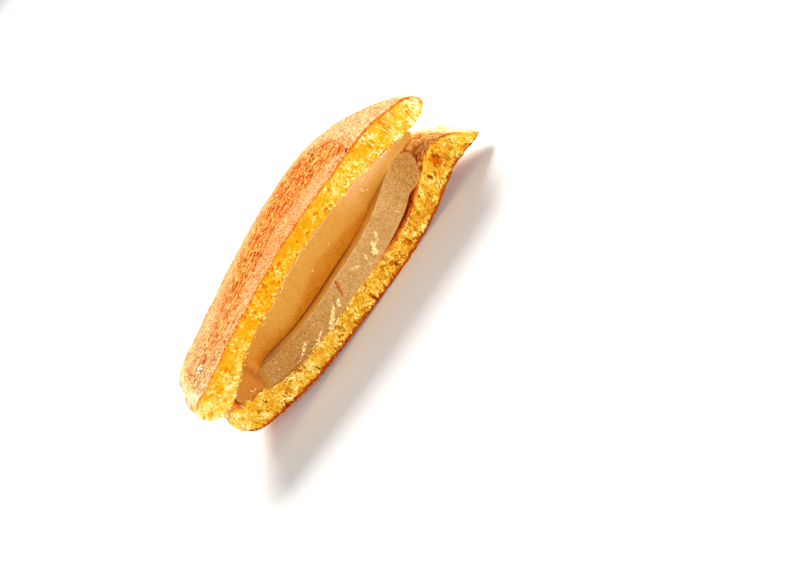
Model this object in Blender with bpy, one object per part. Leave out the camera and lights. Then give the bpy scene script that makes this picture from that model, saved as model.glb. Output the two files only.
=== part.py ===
"""Half a dorayaki, cut face towards -Y, resting on the back of its lower pancake.

Two honey pancakes hold two layers of sweet bean paste. Every piece is half of a round, thin
thing, so each one is described the same way: the heights of its upper and lower surface along
the cut, at stations given as fractions of its radius, to the right and to the left of its
centre. Round the back, the right-hand profile turns smoothly into the left-hand one.
"""

import bpy
import numpy as np

MM = 0.001  # the sizes below are written in millimetres

# ---- driving dimensions -------------------------------------------------------------------

STATIONS = (0.0, 0.20, 0.40, 0.60, 0.75, 0.88, 1.0)  # where the profiles are given, 1 = the rim

PANCAKE_RADIUS = 45.35
RIM_ROUNDING = 0.09  # width of the rounded rim, as a fraction of the radius

TOP_CENTRE_X = -0.45
TOP_CRUST_RIGHT = (28.1, 28.3, 28.15, 28.1, 27.2, 25.6, 23.9)
TOP_CRUST_LEFT = (28.1, 27.4, 26.3, 25.1, 23.8, 22.8, 23.0)
TOP_INNER_RIGHT = (23.2, 23.0, 22.0, 20.6, 19.3, 18.5, 18.2)
TOP_INNER_LEFT = (23.2, 22.2, 20.8, 19.4, 16.7, 15.2, 16.3)
# Baked shapes aren't true circles: (waves round the half, size as a fraction of the radius).
TOP_OUTLINE_WAVES = ((2, 0.010), (5, -0.006))
# The rim of the top pancake rises and sags round the back: (degrees from +X, width, height).
TOP_RIM_WAVES = ((50.0, 24.0, 1.8), (116.0, 28.0, -1.5), (154.0, 16.0, 1.7))

BASE_CENTRE_X = 2.5
BASE_OUTLINE_WAVES = ((1, -0.016), (3, 0.008), (4, 0.005))
BASE_CRUST_RIGHT = (0.3, 0.0, 0.45, 1.8, 3.5, 5.2, 7.0)
BASE_CRUST_LEFT = (0.3, 0.6, 1.0, 2.0, 3.4, 5.1, 7.3)
BASE_INNER_RIGHT = (6.3, 6.0, 6.6, 9.7, 12.5, 12.8, 10.8)
BASE_INNER_LEFT = (6.3, 6.1, 6.4, 8.2, 11.4, 13.3, 16.2)
# At its right-hand cut corner the lower pancake droops and thins to a point.
CORNER_CRUST = (0.3, 0.0, 0.45, 2.0, 3.8, 3.9, 2.9)
CORNER_INNER = (6.3, 6.0, 6.6, 9.7, 12.5, 10.3, 4.5)
CORNER_REACH = 18.5  # degrees round the rim
BASE_SETTLE = 1.9  # how far the weight presses the lower pancake's back down flat

SLAB_CENTRE_X = 1.4
SLAB_RADIUS = 31.6
SLAB_ROUNDING_RIGHT = 0.09
SLAB_ROUNDING_LEFT = 0.02
SLAB_TOP_RIGHT = (12.9, 13.15, 14.0, 15.4, 16.9, 17.6, 17.2)
SLAB_TOP_LEFT = (12.9, 12.55, 12.5, 12.85, 13.2, 13.6, 14.3)
SLAB_LIFT_RIGHT = (0.0, 0.1, 0.5, 1.0, 0.9, 0.7, 1.0)  # the slit under the slab, past the gap
SLAB_LIFT_LEFT = (0.0, 0.2, 0.1, 0.1, 0.0, 0.0, 0.2)

UPPER_CENTRE_X = -0.3
UPPER_RADIUS = 37.4
PASTE_OUTLINE_WAVES = ((3, -0.012), (7, 0.006))
UPPER_ROUNDING = 0.05
UPPER_END_RIGHT = 16.8  # underside of the upper paste, where it reaches past the slab
UPPER_WRAP_FROM = 12.0  # degrees from +X where the upper paste starts to wrap round the slab
UPPER_WRAP_FULL = 38.0
# Fractions of the slab's radius between which the upper paste comes down past it.
WRAP_AT_CUT = (1.012, 1.035)
WRAP_BEHIND = (1.03, 1.11)
SHELF_DEPTH = 3.1  # how far the upper paste is set back along the seam
SHELF_LEFT_END = (-31.0, -27.0)  # the shelf grows between these places
SHELF_RIGHT_END = (28.5, 17.0)

GAP = 0.3  # clearance between touching pieces

# Holes in the crumb of the lower pancake that show in the cut: x, z, half width, half height,
# depth.
LARGE_PORES = ((35.7, 9.3, 1.1, 1.9, 1.2), (31.6, 7.5, 0.9, 1.3, 0.9))
CRUMB_ROUGHNESS = 0.22  # how unevenly the crumb was cut
CRUST_UNEVENNESS = 0.12

PANCAKE_SECTIONS = 78
PASTE_SECTIONS = 46
ROW_POINTS = 10  # from the cut to the rim, on each side
CRUMB_ROWS = 5
PASTE_ROWS = 4
SHARP_ANGLE = 42.0  # degrees; the cut's edge is sharper than this, the rim is not

# ---- colours, as seen (sRGB) --------------------------------------------------------------

CRUST_COLOUR = (0.80, 0.46, 0.19)
CRUMB_COLOUR = (0.88, 0.66, 0.20)
UPPER_PASTE_COLOUR = (0.87, 0.61, 0.29)
SLAB_PASTE_COLOUR = (0.78, 0.58, 0.34)


# ---- small helpers ------------------------------------------------------------------------

def smoothstep(start, end, value):
    """0 before start, 1 after end, and a smooth rise between them."""
    t = np.clip((np.asarray(value, float) - start) / (end - start), 0.0, 1.0)
    return t * t * (3.0 - 2.0 * t)


def smooth_curve(heights, at):
    """A smooth curve through the heights at the stations."""
    stations = np.array(STATIONS)
    heights = np.array(heights, float)
    slopes = np.gradient(heights, stations)
    slopes[0] = 0.0
    at = np.clip(at, 0.0, 1.0)
    span = np.clip(np.searchsorted(stations, at) - 1, 0, len(stations) - 2)
    length = stations[span + 1] - stations[span]
    t = (at - stations[span]) / length
    start = (1.0 + 2.0 * t) * (1.0 - t) ** 2 * heights[span]
    start_slope = t * (1.0 - t) ** 2 * length * slopes[span]
    end = t * t * (3.0 - 2.0 * t) * heights[span + 1]
    end_slope = t * t * (t - 1.0) * length * slopes[span + 1]
    return start + start_slope + end + end_slope


def polar(x, y, centre_x, radius):
    """Fraction of the radius and angle from +X, of points of a half round."""
    across = (x - centre_x) / radius
    back = y / radius
    return np.hypot(across, back), np.arctan2(np.maximum(back, 0.0), across)


def turned(right, left, fraction, angle):
    """The right-hand profile turned round the back into the left-hand one."""
    share_left = (1.0 - np.cos(angle)) / 2.0
    return smooth_curve(right, fraction) * (1.0 - share_left) + smooth_curve(left, fraction) * share_left


def rounded_rim(low, high, fraction, rounding):
    """Draws two surfaces together into a round rim at fraction 1."""
    into = np.clip((fraction - (1.0 - rounding)) / rounding, 0.0, 1.0)
    keep = np.sqrt(1.0 - into ** 2)
    middle = (low + high) / 2.0
    half = (high - low) / 2.0
    return middle - half * keep, middle + half * keep


def out_of_round(x, y, centre_x, radius, waves):
    """Moves points near the rim in or out, but not along the cut."""
    fraction, angle = polar(x, y, centre_x, radius)
    swell = sum(size * np.sin(count * angle) for count, size in waves)
    stretch = 1.0 + swell * smoothstep(0.6, 1.0, fraction)
    return centre_x + (x - centre_x) * stretch, y * stretch


def uneven(a, b, size):
    """A smooth unevenness between -1 and 1, repeating nowhere in the piece."""
    a = a / size
    b = b / size
    waves = np.sin(1.7 * a + 0.6 * b + 0.4) + np.sin(-0.9 * a + 1.9 * b + 2.1)
    waves = waves + np.sin(2.9 * a - 1.3 * b + 4.0) + np.sin(1.1 * a + 3.1 * b + 5.3)
    return waves / 4.0


# ---- surfaces: heights in millimetres over (x, y) ------------------------------------------

def top_pancake_surfaces(x, y):
    """Lower and upper surface of the top pancake."""
    fraction, angle = polar(x, y, TOP_CENTRE_X, PANCAKE_RADIUS)
    low = turned(TOP_INNER_RIGHT, TOP_INNER_LEFT, fraction, angle)
    high = turned(TOP_CRUST_RIGHT, TOP_CRUST_LEFT, fraction, angle)
    for place, width, height in TOP_RIM_WAVES:
        wave = height * np.exp(-((np.degrees(angle) - place) / width) ** 2)
        wave = wave * smoothstep(0.35, 1.0, fraction)
        low = low + wave
        high = high + wave
    high = high + CRUST_UNEVENNESS * uneven(x, y, 4.0)
    return rounded_rim(low, high, fraction, RIM_ROUNDING)


def base_pancake_surfaces(x, y):
    """Lower and upper surface of the lower pancake, flat where it rests."""
    fraction, angle = polar(x, y, BASE_CENTRE_X, PANCAKE_RADIUS)
    low = turned(BASE_CRUST_RIGHT, BASE_CRUST_LEFT, fraction, angle)
    high = turned(BASE_INNER_RIGHT, BASE_INNER_LEFT, fraction, angle)
    corner = np.exp(-(np.degrees(angle) / CORNER_REACH) ** 2)
    low = low + corner * (smooth_curve(CORNER_CRUST, fraction) - smooth_curve(BASE_CRUST_RIGHT, fraction))
    high = high + corner * (smooth_curve(CORNER_INNER, fraction) - smooth_curve(BASE_INNER_RIGHT, fraction))
    low = low - BASE_SETTLE * np.sin(angle) * np.sin(np.pi * np.clip(fraction, 0.0, 1.0))
    low, high = rounded_rim(low, high, fraction, RIM_ROUNDING)
    return np.maximum(low, 0.0), high


def slab_surfaces(x, y):
    """Lower and upper surface of the lower paste layer, a slab lying in the lower pancake."""
    fraction, angle = polar(x, y, SLAB_CENTRE_X, SLAB_RADIUS)
    lift = turned(SLAB_LIFT_RIGHT, SLAB_LIFT_LEFT, fraction, angle)
    low = base_pancake_surfaces(x, y)[1] + GAP + lift
    high = turned(SLAB_TOP_RIGHT, SLAB_TOP_LEFT, fraction, angle)
    share_left = (1.0 - np.cos(angle)) / 2.0
    rounding = SLAB_ROUNDING_RIGHT + (SLAB_ROUNDING_LEFT - SLAB_ROUNDING_RIGHT) * share_left
    return rounded_rim(low, high, fraction, rounding)


def upper_paste_surfaces(x, y):
    """Lower and upper surface of the upper paste layer, which wraps round the slab."""
    high = top_pancake_surfaces(x, y)[0] - GAP
    fraction, angle = polar(x, y, SLAB_CENTRE_X, SLAB_RADIUS)
    over_slab = turned(SLAB_TOP_RIGHT, SLAB_TOP_LEFT, fraction, angle) + GAP
    past_slab = smoothstep(1.0, 1.12, fraction)
    over_slab = over_slab + (UPPER_END_RIGHT - over_slab) * past_slab * (1.0 + np.cos(angle)) / 2.0
    in_dish = base_pancake_surfaces(x, y)[1] + GAP
    wrap = smoothstep(UPPER_WRAP_FROM, UPPER_WRAP_FULL, np.degrees(angle))
    wrap_start = WRAP_AT_CUT[0] + (WRAP_BEHIND[0] - WRAP_AT_CUT[0]) * np.sin(angle)
    wrap_end = WRAP_AT_CUT[1] + (WRAP_BEHIND[1] - WRAP_AT_CUT[1]) * np.sin(angle)
    low = over_slab + (in_dish - over_slab) * smoothstep(wrap_start, wrap_end, fraction) * wrap
    low = np.minimum(low, high - GAP)
    fraction, angle = polar(x, y, UPPER_CENTRE_X, UPPER_RADIUS)
    return rounded_rim(low, high, fraction, UPPER_ROUNDING)


# ---- cut faces: how far behind the cut plane each point lies --------------------------------

def crumb_face(x, z):
    """The crumb was torn a little by the knife, and has holes in it."""
    depth = CRUMB_ROUGHNESS * (1.0 + uneven(x, z, 1.6))
    for pore_x, pore_z, half_width, half_height, pore_depth in LARGE_PORES:
        away = ((x - pore_x) / half_width) ** 2 + ((z - pore_z) / half_height) ** 2
        depth = depth + pore_depth * np.exp(-away)
    return depth


def shelf_depth(x):
    """How far the upper paste is set back at the seam."""
    grown = smoothstep(SHELF_LEFT_END[0], SHELF_LEFT_END[1], x)
    return SHELF_DEPTH * grown * (1.0 - smoothstep(SHELF_RIGHT_END[1], SHELF_RIGHT_END[0], x))


def straight_face(x, z, down):
    """The lower paste layer was cut flat."""
    return np.zeros_like(x)


def crumb_cut(x, z, down):
    """The cut face of a pancake."""
    return crumb_face(x, z)


def receding_face(x, z, down):
    """The upper paste is flush at its top and set back at the seam."""
    return shelf_depth(x) * down ** 1.5


# ---- solids --------------------------------------------------------------------------------

def section_places(centre_x, radius, count):
    """Places along the cut, closer together towards the ends."""
    even = np.linspace(-1.0, 1.0, count + 2)[1:-1]
    return centre_x + radius * even * (1.35 - 0.35 * even ** 2)


def half_round(centre_x, radius, waves, count, rows, surfaces, face):
    """Corners and faces of a half round, lofted along the cut from closed sections."""
    x = section_places(centre_x, radius, count)
    back = np.sqrt(radius ** 2 - (x - centre_x) ** 2)
    nearness = 1.0 - (1.0 - np.arange(ROW_POINTS + 1) / ROW_POINTS) ** 2
    start_low = face(x, surfaces(x, 0.0 * x)[0], np.ones_like(x))
    start_high = face(x, surfaces(x, 0.0 * x)[1], np.zeros_like(x))
    start_low = np.minimum(start_low, 0.45 * back)
    start_high = np.minimum(start_high, 0.45 * back)

    ring = []
    for near in nearness:  # along the lower surface, from the cut to the rim
        y = start_low + (back - start_low) * near
        ring.append((*out_of_round(x, y, centre_x, radius, waves), surfaces(x, y)[0]))
    for near in nearness[-2::-1]:  # along the upper surface, back to the cut
        y = start_high + (back - start_high) * near
        ring.append((*out_of_round(x, y, centre_x, radius, waves), surfaces(x, y)[1]))
    low_edge = ring[0][2]
    high_edge = ring[-1][2]
    for row in range(1, rows):  # down the cut face
        down = np.full_like(x, row / rows)
        z = high_edge + (low_edge - high_edge) * down
        y = np.minimum(face(x, z, down), 0.45 * back)
        ring.append((x, y, z))

    points = np.stack([np.stack(place, axis=-1) for place in ring], axis=1)
    return closed_loft(points, end_point(surfaces, centre_x - radius), end_point(surfaces, centre_x + radius))


def end_point(surfaces, x):
    """The point in which a half round ends on the cut."""
    low, high = surfaces(np.array([x]), np.array([0.0]))
    return (x, 0.0, float(low[0] + high[0]) / 2.0)


def closed_loft(points, left_end, right_end):
    """Skins sections of equal length and closes both ends in a point."""
    sections, around = points.shape[:2]
    corners = [tuple(corner) for corner in points.reshape(-1, 3)]
    faces = []
    for section in range(sections - 1):
        for place in range(around):
            after = (place + 1) % around
            here = section * around
            there = here + around
            faces.append((here + place, here + after, there + after, there + place))
    corners.append(left_end)
    corners.append(right_end)
    left = len(corners) - 2
    right = len(corners) - 1
    last = (sections - 1) * around
    for place in range(around):
        after = (place + 1) % around
        faces.append((left, after, place))
        faces.append((right, last + place, last + after))
    return corners, faces


def plain_material(name, colour, roughness):
    """A Principled BSDF of one colour, given as seen (sRGB)."""
    material = bpy.data.materials.new(name)
    material.use_nodes = True
    shader = material.node_tree.nodes["Principled BSDF"]
    linear = [((value + 0.055) / 1.055) ** 2.4 for value in colour]
    shader.inputs["Base Color"].default_value = (*linear, 1.0)
    shader.inputs["Roughness"].default_value = roughness
    shader.inputs["Metallic"].default_value = 0.0
    material.diffuse_color = (*linear, 1.0)
    return material


def add_solid(name, shape, offset, material):
    """Makes an object from a shape in millimetres, moved so that the origin is under the whole."""
    corners, faces = shape
    metres = (np.array(corners) - offset) * MM
    mesh = bpy.data.meshes.new(name)
    mesh.from_pydata(metres.tolist(), [], faces)
    mesh.update()
    mesh.shade_smooth()
    mesh.set_sharp_from_angle(angle=np.radians(SHARP_ANGLE))
    mesh.materials.append(material)
    solid = bpy.data.objects.new(name, mesh)
    bpy.context.scene.collection.objects.link(solid)
    return solid


def clear_scene():
    """Removes whatever the scene holds."""
    for thing in list(bpy.data.objects):
        bpy.data.objects.remove(thing, do_unlink=True)


def main():
    clear_scene()
    shapes = {
        "bottom_pancake": half_round(
            BASE_CENTRE_X, PANCAKE_RADIUS, BASE_OUTLINE_WAVES,
            PANCAKE_SECTIONS, CRUMB_ROWS, base_pancake_surfaces, crumb_cut),
        "top_pancake": half_round(
            TOP_CENTRE_X, PANCAKE_RADIUS, TOP_OUTLINE_WAVES,
            PANCAKE_SECTIONS, CRUMB_ROWS, top_pancake_surfaces, crumb_cut),
        "filling_lower": half_round(
            SLAB_CENTRE_X, SLAB_RADIUS, (),
            PASTE_SECTIONS, PASTE_ROWS, slab_surfaces, straight_face),
        "filling_upper": half_round(
            UPPER_CENTRE_X, UPPER_RADIUS, PASTE_OUTLINE_WAVES,
            PASTE_SECTIONS, PASTE_ROWS, upper_paste_surfaces, receding_face),
    }
    materials = {
        "bottom_pancake": plain_material("crumb", CRUMB_COLOUR, 0.9),
        "top_pancake": plain_material("crust", CRUST_COLOUR, 0.8),
        "filling_lower": plain_material("paste_lower", SLAB_PASTE_COLOUR, 0.45),
        "filling_upper": plain_material("paste_upper", UPPER_PASTE_COLOUR, 0.55),
    }
    everything = np.concatenate([np.array(corners) for corners, _ in shapes.values()])
    low = everything.min(axis=0)
    high = everything.max(axis=0)
    offset = np.array([(low[0] + high[0]) / 2.0, (low[1] + high[1]) / 2.0, low[2]])
    for name, shape in shapes.items():
        add_solid(name, shape, offset, materials[name])


main()
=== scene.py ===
"""Dresses half a dorayaki: baked crust, porous crumb, two layers of bean paste, crumbs.

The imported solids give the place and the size. The two pancakes and the two layers of paste have
the forms of the solids they stand for, at a finer grain: pores in the crumb, wrinkles in the crust,
a lip on the cut paste. Loose crumbs, a burnt speck and slivers of bean skin are added to them.
"""

import math
from functools import partial

import bmesh
import bpy
import numpy as np
from bpy.props import FloatProperty, FloatVectorProperty, PointerProperty
from bpy.types import Operator, Panel, PropertyGroup
from mathutils import Matrix, Vector


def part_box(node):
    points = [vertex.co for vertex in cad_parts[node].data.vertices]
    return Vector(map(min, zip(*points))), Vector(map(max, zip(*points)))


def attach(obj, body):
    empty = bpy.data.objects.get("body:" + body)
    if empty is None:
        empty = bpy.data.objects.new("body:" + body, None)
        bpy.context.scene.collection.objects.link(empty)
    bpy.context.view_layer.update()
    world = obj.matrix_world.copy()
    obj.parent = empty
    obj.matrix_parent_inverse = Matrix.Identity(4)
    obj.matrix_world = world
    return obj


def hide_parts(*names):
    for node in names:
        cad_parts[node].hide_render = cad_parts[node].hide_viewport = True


bl_info = {
    "name": "Half dorayaki",
    "version": (1, 0, 0),
    "blender": (4, 5, 0),
    "location": "3D View > Sidebar > Dorayaki",
    "description": "Builds the crust, crumb, bean paste and crumbs of half a dorayaki",
    "category": "Object",
}

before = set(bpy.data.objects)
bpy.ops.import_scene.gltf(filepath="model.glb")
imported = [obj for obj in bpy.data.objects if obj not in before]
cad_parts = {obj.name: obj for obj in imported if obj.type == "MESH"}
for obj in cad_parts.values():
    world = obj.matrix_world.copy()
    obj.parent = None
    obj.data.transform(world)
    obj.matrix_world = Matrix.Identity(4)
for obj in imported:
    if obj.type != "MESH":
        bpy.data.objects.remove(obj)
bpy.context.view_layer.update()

MM = 0.001  # lengths below are in millimetres; the properties hold metres
RIM_HEIGHT = 3.5  # about half the thickness of a rim
ROUND_SHARE = 0.6  # how much of a rim's width counts when rows are spread over it
PANCAKE_RADIUS = 45.0  # about, of both pancakes, for placing crumb round their rims
RIM_PER_DEGREE = 0.79  # length of rim in one degree
STATIONS = np.array((0.0, 0.20, 0.40, 0.60, 0.75, 0.88, 1.0))  # fractions of a radius


# ---- properties ---------------------------------------------------------------------------

def linear(colour):
    """Scene-linear values of a colour given as seen, 0 to 255."""
    return tuple(((part / 255.0 + 0.055) / 1.055) ** 2.4 for part in colour)


def length(name, description, millimetres):
    """A length property."""
    return FloatProperty(
        name=name, description=description, default=millimetres * MM, precision=5, unit="LENGTH")


def profile(name, description, millimetres):
    """Heights at the stations, from the middle of the cut to one end."""
    return FloatVectorProperty(
        name=name, description=description, size=len(STATIONS),
        default=[height * MM for height in millimetres], precision=5, unit="LENGTH")


def share(name, description, value):
    """A property between 0 and 1."""
    return FloatProperty(name=name, description=description, default=value, subtype="FACTOR")


def turning(name, description, degrees):
    """An angle property."""
    return FloatProperty(
        name=name, description=description, default=math.radians(degrees), subtype="ANGLE")


def strength_of(name, description, value):
    """A lamp's power or the sky's strength."""
    return FloatProperty(name=name, description=description, default=value, min=0.0)


def tint(name, description, seen):
    """A colour property, given as seen."""
    return FloatVectorProperty(
        name=name, description=description, size=3, default=linear(seen), subtype="COLOR",
        min=0.0, max=1.0)


class TopPancakeSettings(PropertyGroup):
    """Sizes and colours of the top pancake."""

    centre: length("Centre", "Place of its middle along the cut", -0.45)
    radius: length("Radius", "Half of its width along the cut", 45.35)
    rounding: share("Rim rounding", "Width of the round rim as a share of the radius", 0.09)
    high_right: profile("Crust, right", "Heights of the crust", (28.1, 28.3, 28.15, 28.1, 27.2, 25.6, 23.9))
    high_left: profile("Crust, left", "Heights of the crust", (28.1, 27.4, 26.3, 25.1, 23.8, 22.8, 23.0))
    low_right: profile("Inside, right", "Heights of the inside", (23.2, 23.0, 22.0, 20.6, 19.3, 18.5, 18.2))
    low_left: profile("Inside, left", "Heights of the inside", (23.2, 22.2, 20.8, 19.4, 16.7, 15.2, 16.3))
    pore_depth: length("Pore depth", "Depth of the deepest common pores", 0.45)
    crumb: tint("Crumb", "Colour of the crumb", (252, 180, 14))
    # Inside pores: the crumb's own deeper orange, with painted shade.
    crumb_deep: tint("Crumb, deep", "Colour inside the pores", (222, 116, 0))
    crumb_pale: tint("Crumb, pale", "Colour of flecks", (255, 230, 134))
    rim_colour: tint("Rim", "Colour of the unbaked rim", (255, 244, 214))
    warm: tint("Crumb, warm", "Orange crumb under the crust", (250, 140, 0))


class BottomPancakeSettings(PropertyGroup):
    """Sizes and colours of the lower pancake."""

    centre: length("Centre", "Place of its middle along the cut", 2.5)
    radius: length("Radius", "Half of its width along the cut", 45.35)
    rounding: share("Rim rounding", "Width of the round rim as a share of the radius", 0.09)
    low_right: profile("Crust, right", "Heights of the crust", (0.3, 0.0, 0.45, 1.8, 3.5, 5.2, 7.0))
    low_left: profile("Crust, left", "Heights of the crust", (0.3, 0.6, 1.0, 2.0, 3.4, 5.1, 7.3))
    high_right: profile("Inside, right", "Heights of the inside", (6.3, 6.0, 6.6, 9.7, 12.5, 12.8, 10.8))
    high_left: profile("Inside, left", "Heights of the inside", (6.3, 6.1, 6.4, 8.2, 11.5, 14.0, 16.2))
    corner_low: profile("Crust, corner", "Where the corner droops", (0.3, 0.0, 0.45, 2.0, 3.8, 3.9, 2.9))
    corner_high: profile("Inside, corner", "Where the corner droops", (6.3, 6.0, 6.6, 9.7, 12.5, 10.3, 4.5))
    corner_reach: turning("Corner reach", "How far round the rim the corner droops", 18.5)
    settle: length("Settling", "How far its weight presses the middle down flat", 1.9)
    pore_depth: length("Pore depth", "Depth of the deepest common pores", 0.6)
    crumb: tint("Crumb", "Colour of the crumb", (248, 194, 54))
    # Inside pores: the crumb's own deeper orange, with painted shade.
    crumb_deep: tint("Crumb, deep", "Colour inside the pores", (200, 108, 2))
    crumb_pale: tint("Crumb, pale", "Colour of flecks", (255, 230, 138))
    rim_colour: tint("Rim", "Colour of the unbaked rim", (255, 244, 214))
    # Painted glow: this bright orange stands in for light through the crumb on the shaded inside of the left
    # end; a little of it also tints the rim.
    warm: tint("Crumb, warm", "Orange crumb inside its two ends", (255, 160, 8))


class PasteSettings(PropertyGroup):
    """Sizes and colours of the two layers of paste."""

    slab_centre: length("Slab centre", "Middle of the lower layer along the cut", 1.4)
    slab_radius: length("Slab radius", "Half width of the lower layer", 31.6)
    slab_right: profile("Slab, right", "Heights of its top", (12.9, 13.15, 14.0, 15.4, 16.9, 17.6, 17.2))
    slab_left: profile("Slab, left", "Heights of its top", (12.9, 12.55, 12.5, 12.9, 13.7, 14.4, 15.1))
    lift_right: profile("Slit, right", "Heights of the slit under it", (0.0, 0.1, 0.5, 0.95, 0.85, 0.15, 0.6))
    lift_left: profile("Slit, left", "Heights of the slit under it", (0.0, 0.2, 0.1, 0.1, 0.0, 0.0, 0.2))
    upper_centre: length("Upper centre", "Middle of the upper layer along the cut", -0.3)
    upper_radius: length("Upper radius", "Half width of the upper layer", 37.4)
    upper_end: length("Upper end", "Underside of the upper layer past the slab", 15.7)
    shelf: length("Shelf", "How far the upper layer is set back at the seam", 3.1)
    lip: length("Lip", "How proud the knife left the slab's upper edge", 0.16)
    upper: tint("Upper paste", "Colour of the upper layer", (204, 149, 61))
    # Painted shade: the darker colour towards the seam stands in for the shade of the recessed lower face.
    upper_deep: tint("Upper paste, deep", "Colour towards the seam", (188, 109, 8))
    slab: tint("Lower paste", "Colour of the lower layer", (212, 169, 107))
    slab_deep: tint("Lower paste, deep", "Darker grain of the lower layer", (164, 104, 14))
    # Darkest stop of both paste ramps: painted shade in the crease along the seam, and the darkest parts of
    # the slab.
    seam: tint("Seam", "Darkest paste, along the seam", (120, 48, 4))
    blush: tint("Thin paste", "Pinker colour where the paste is thin", (232, 168, 112))
    # Painted highlight: a pale line painted along the slab's lip, where light catches its edge.
    film: tint("Dry edge", "Pale colour of the dry edge", (255, 242, 218))
    # Painted light: a lighter, more orange colour for the slab's upper side, which lies in the upper layer's
    # shade.
    ledge_painted_light: tint("Ledge", "Colour of the slab's upper side, where it shows", (236, 170, 62))


class CrustSettings(PropertyGroup):
    """Colours and relief of the baked crust."""

    bare: tint("Unbaked", "Palest crust", (255, 220, 156))
    light: tint("Light", "Lightly baked crust", (226, 168, 94))
    baked: tint("Baked", "Well baked crust", (206, 98, 0))
    dark: tint("Dark", "Darkest specks", (166, 58, 0))
    # The seared colours run from pale to dark; the relief term in the browning gives ridges a painted
    # highlight and creases painted shade.
    seared_pale: tint("Seared, pale", "Ridges of the wrinkled crust", (252, 198, 104))
    seared_light: tint("Seared, light", "Between the ridges", (238, 140, 4))
    seared: tint("Seared", "Creases of the wrinkled crust", (222, 100, 0))
    seared_dark: tint("Seared, dark", "Deepest creases", (190, 66, 0))
    # Partly painted light: a glow in the lower pancake's shaded slit and left hollow; elsewhere the red of
    # the crust's edge line and of deep pores.
    glow: tint("Glow", "Reddest crumb: in the slit, in deep pores and along the crust's edge", (226, 84, 0))
    relief: length("Relief", "Depth of the wrinkles", 0.2)


class CrumbSettings(PropertyGroup):
    """Colours of the loose crumbs, the bean skins and the burnt speck."""

    crumb: tint("Crumb", "Darker side of a loose crumb", (255, 204, 108))
    crumb_pale: tint("Crumb, pale", "Light side of a loose crumb", (255, 234, 180))
    crumb_white: tint("Crumb, white", "Lightest crumb", (255, 250, 226))
    skin: tint("Bean skin", "Reddish skin of a bean", (146, 54, 4))
    skin_light: tint("Bean skin, light", "Where the skin is thin", (222, 116, 20))
    burnt: tint("Burnt sugar", "The dark speck", (38, 20, 16))


class StageSettings(PropertyGroup):
    """Camera and light."""

    aim: FloatVectorProperty(
        name="Aim", description="The point in the middle of the picture",
        default=(0.00609, -0.0225, -0.0016), unit="LENGTH")
    distance: length("Distance", "From the aim to the camera", 456.2)
    azimuth: turning("Azimuth", "How far the camera stands to the left", 8.95)
    elevation: turning("Elevation", "How far the camera looks down", 21.68)
    roll: turning("Roll", "How far the camera is rolled clockwise", 51.9)
    lens: FloatProperty(
        name="Lens", description="Focal length in millimetres", default=86.9, subtype="DISTANCE_CAMERA")
    floor: tint("Floor", "Colour of the floor", (250, 249, 247))
    key_light: strength_of("Key light", "Power in watts", 9.0)
    fill_light: strength_of("Fill light", "Power in watts", 4.3)
    side_light: strength_of("Side light", "Power in watts", 1.6)
    sky: strength_of("Sky", "Strength of the light all round", 0.29)


# ---- curves and noise ----------------------------------------------------------------------

NOISE_GRID = 128  # cells a side before seeded noise repeats
OCTAVE_SHIFT = (17.3, 9.1)  # cells between two octaves, so that their grids never line up
UNEVEN_SIZE = 4.0  # of the solids' broad unevenness, in millimetres
UNEVEN_WAVES = ((1.7, 0.6, 0.4), (-0.9, 1.9, 2.1), (2.9, -1.3, 4.0), (1.1, 3.1, 5.3))


def rise(start, end, value):
    """0 before start, 1 after end, and a smooth rise between them; start may be the larger."""
    t = np.clip((np.asarray(value, float) - start) / (end - start), 0.0, 1.0)
    return t * t * (3.0 - 2.0 * t)


def bump(centre, width, value):
    """A bell of height 1 round the centre."""
    return np.exp(-((value - centre) / width) ** 2)


def smooth_curve(heights, at):
    """A smooth curve through the heights at the stations, in millimetres."""
    heights = np.array(heights[:], float) / MM
    slopes = np.gradient(heights, STATIONS)
    slopes[0] = 0.0
    at = np.clip(at, 0.0, 1.0)
    span = np.clip(np.searchsorted(STATIONS, at) - 1, 0, len(STATIONS) - 2)
    width = STATIONS[span + 1] - STATIONS[span]
    t = (at - STATIONS[span]) / width
    start = (1.0 + 2.0 * t) * (1.0 - t) ** 2 * heights[span]
    start_slope = t * (1.0 - t) ** 2 * width * slopes[span]
    end = t * t * (3.0 - 2.0 * t) * heights[span + 1]
    end_slope = t * t * (t - 1.0) * width * slopes[span + 1]
    return start + start_slope + end + end_slope


def polar(x, y, centre, radius):
    """How far out the points of a half round are, as a share of its radius, and their angle from +X."""
    across = (x - centre) / radius
    back = y / radius
    return np.hypot(across, back), np.arctan2(np.maximum(back, 0.0), across)


def turned(right, left, fraction, angle):
    """The right-hand profile turned round the back into the left-hand one."""
    share_left = (1.0 - np.cos(angle)) / 2.0
    on_right = smooth_curve(right, fraction) * (1.0 - share_left)
    return on_right + smooth_curve(left, fraction) * share_left


def rounded_rim(low, high, fraction, rounding):
    """Draws two surfaces together into a round rim at fraction 1."""
    into = np.clip((fraction - (1.0 - rounding)) / rounding, 0.0, 1.0)
    keep = np.sqrt(1.0 - into ** 2)
    middle = (low + high) / 2.0
    half = (high - low) / 2.0
    return middle - half * keep, middle + half * keep


def lattice(grid, a, b):
    """Values of a square grid that repeats."""
    return grid[a % len(grid), b % len(grid)]


def uneven(a, b):
    """The broad unevenness of the solids, between -1 and 1."""
    a, b = a / UNEVEN_SIZE, b / UNEVEN_SIZE
    return sum(np.sin(p * a + q * b + phase) for p, q, phase in UNEVEN_WAVES) / len(UNEVEN_WAVES)


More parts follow.
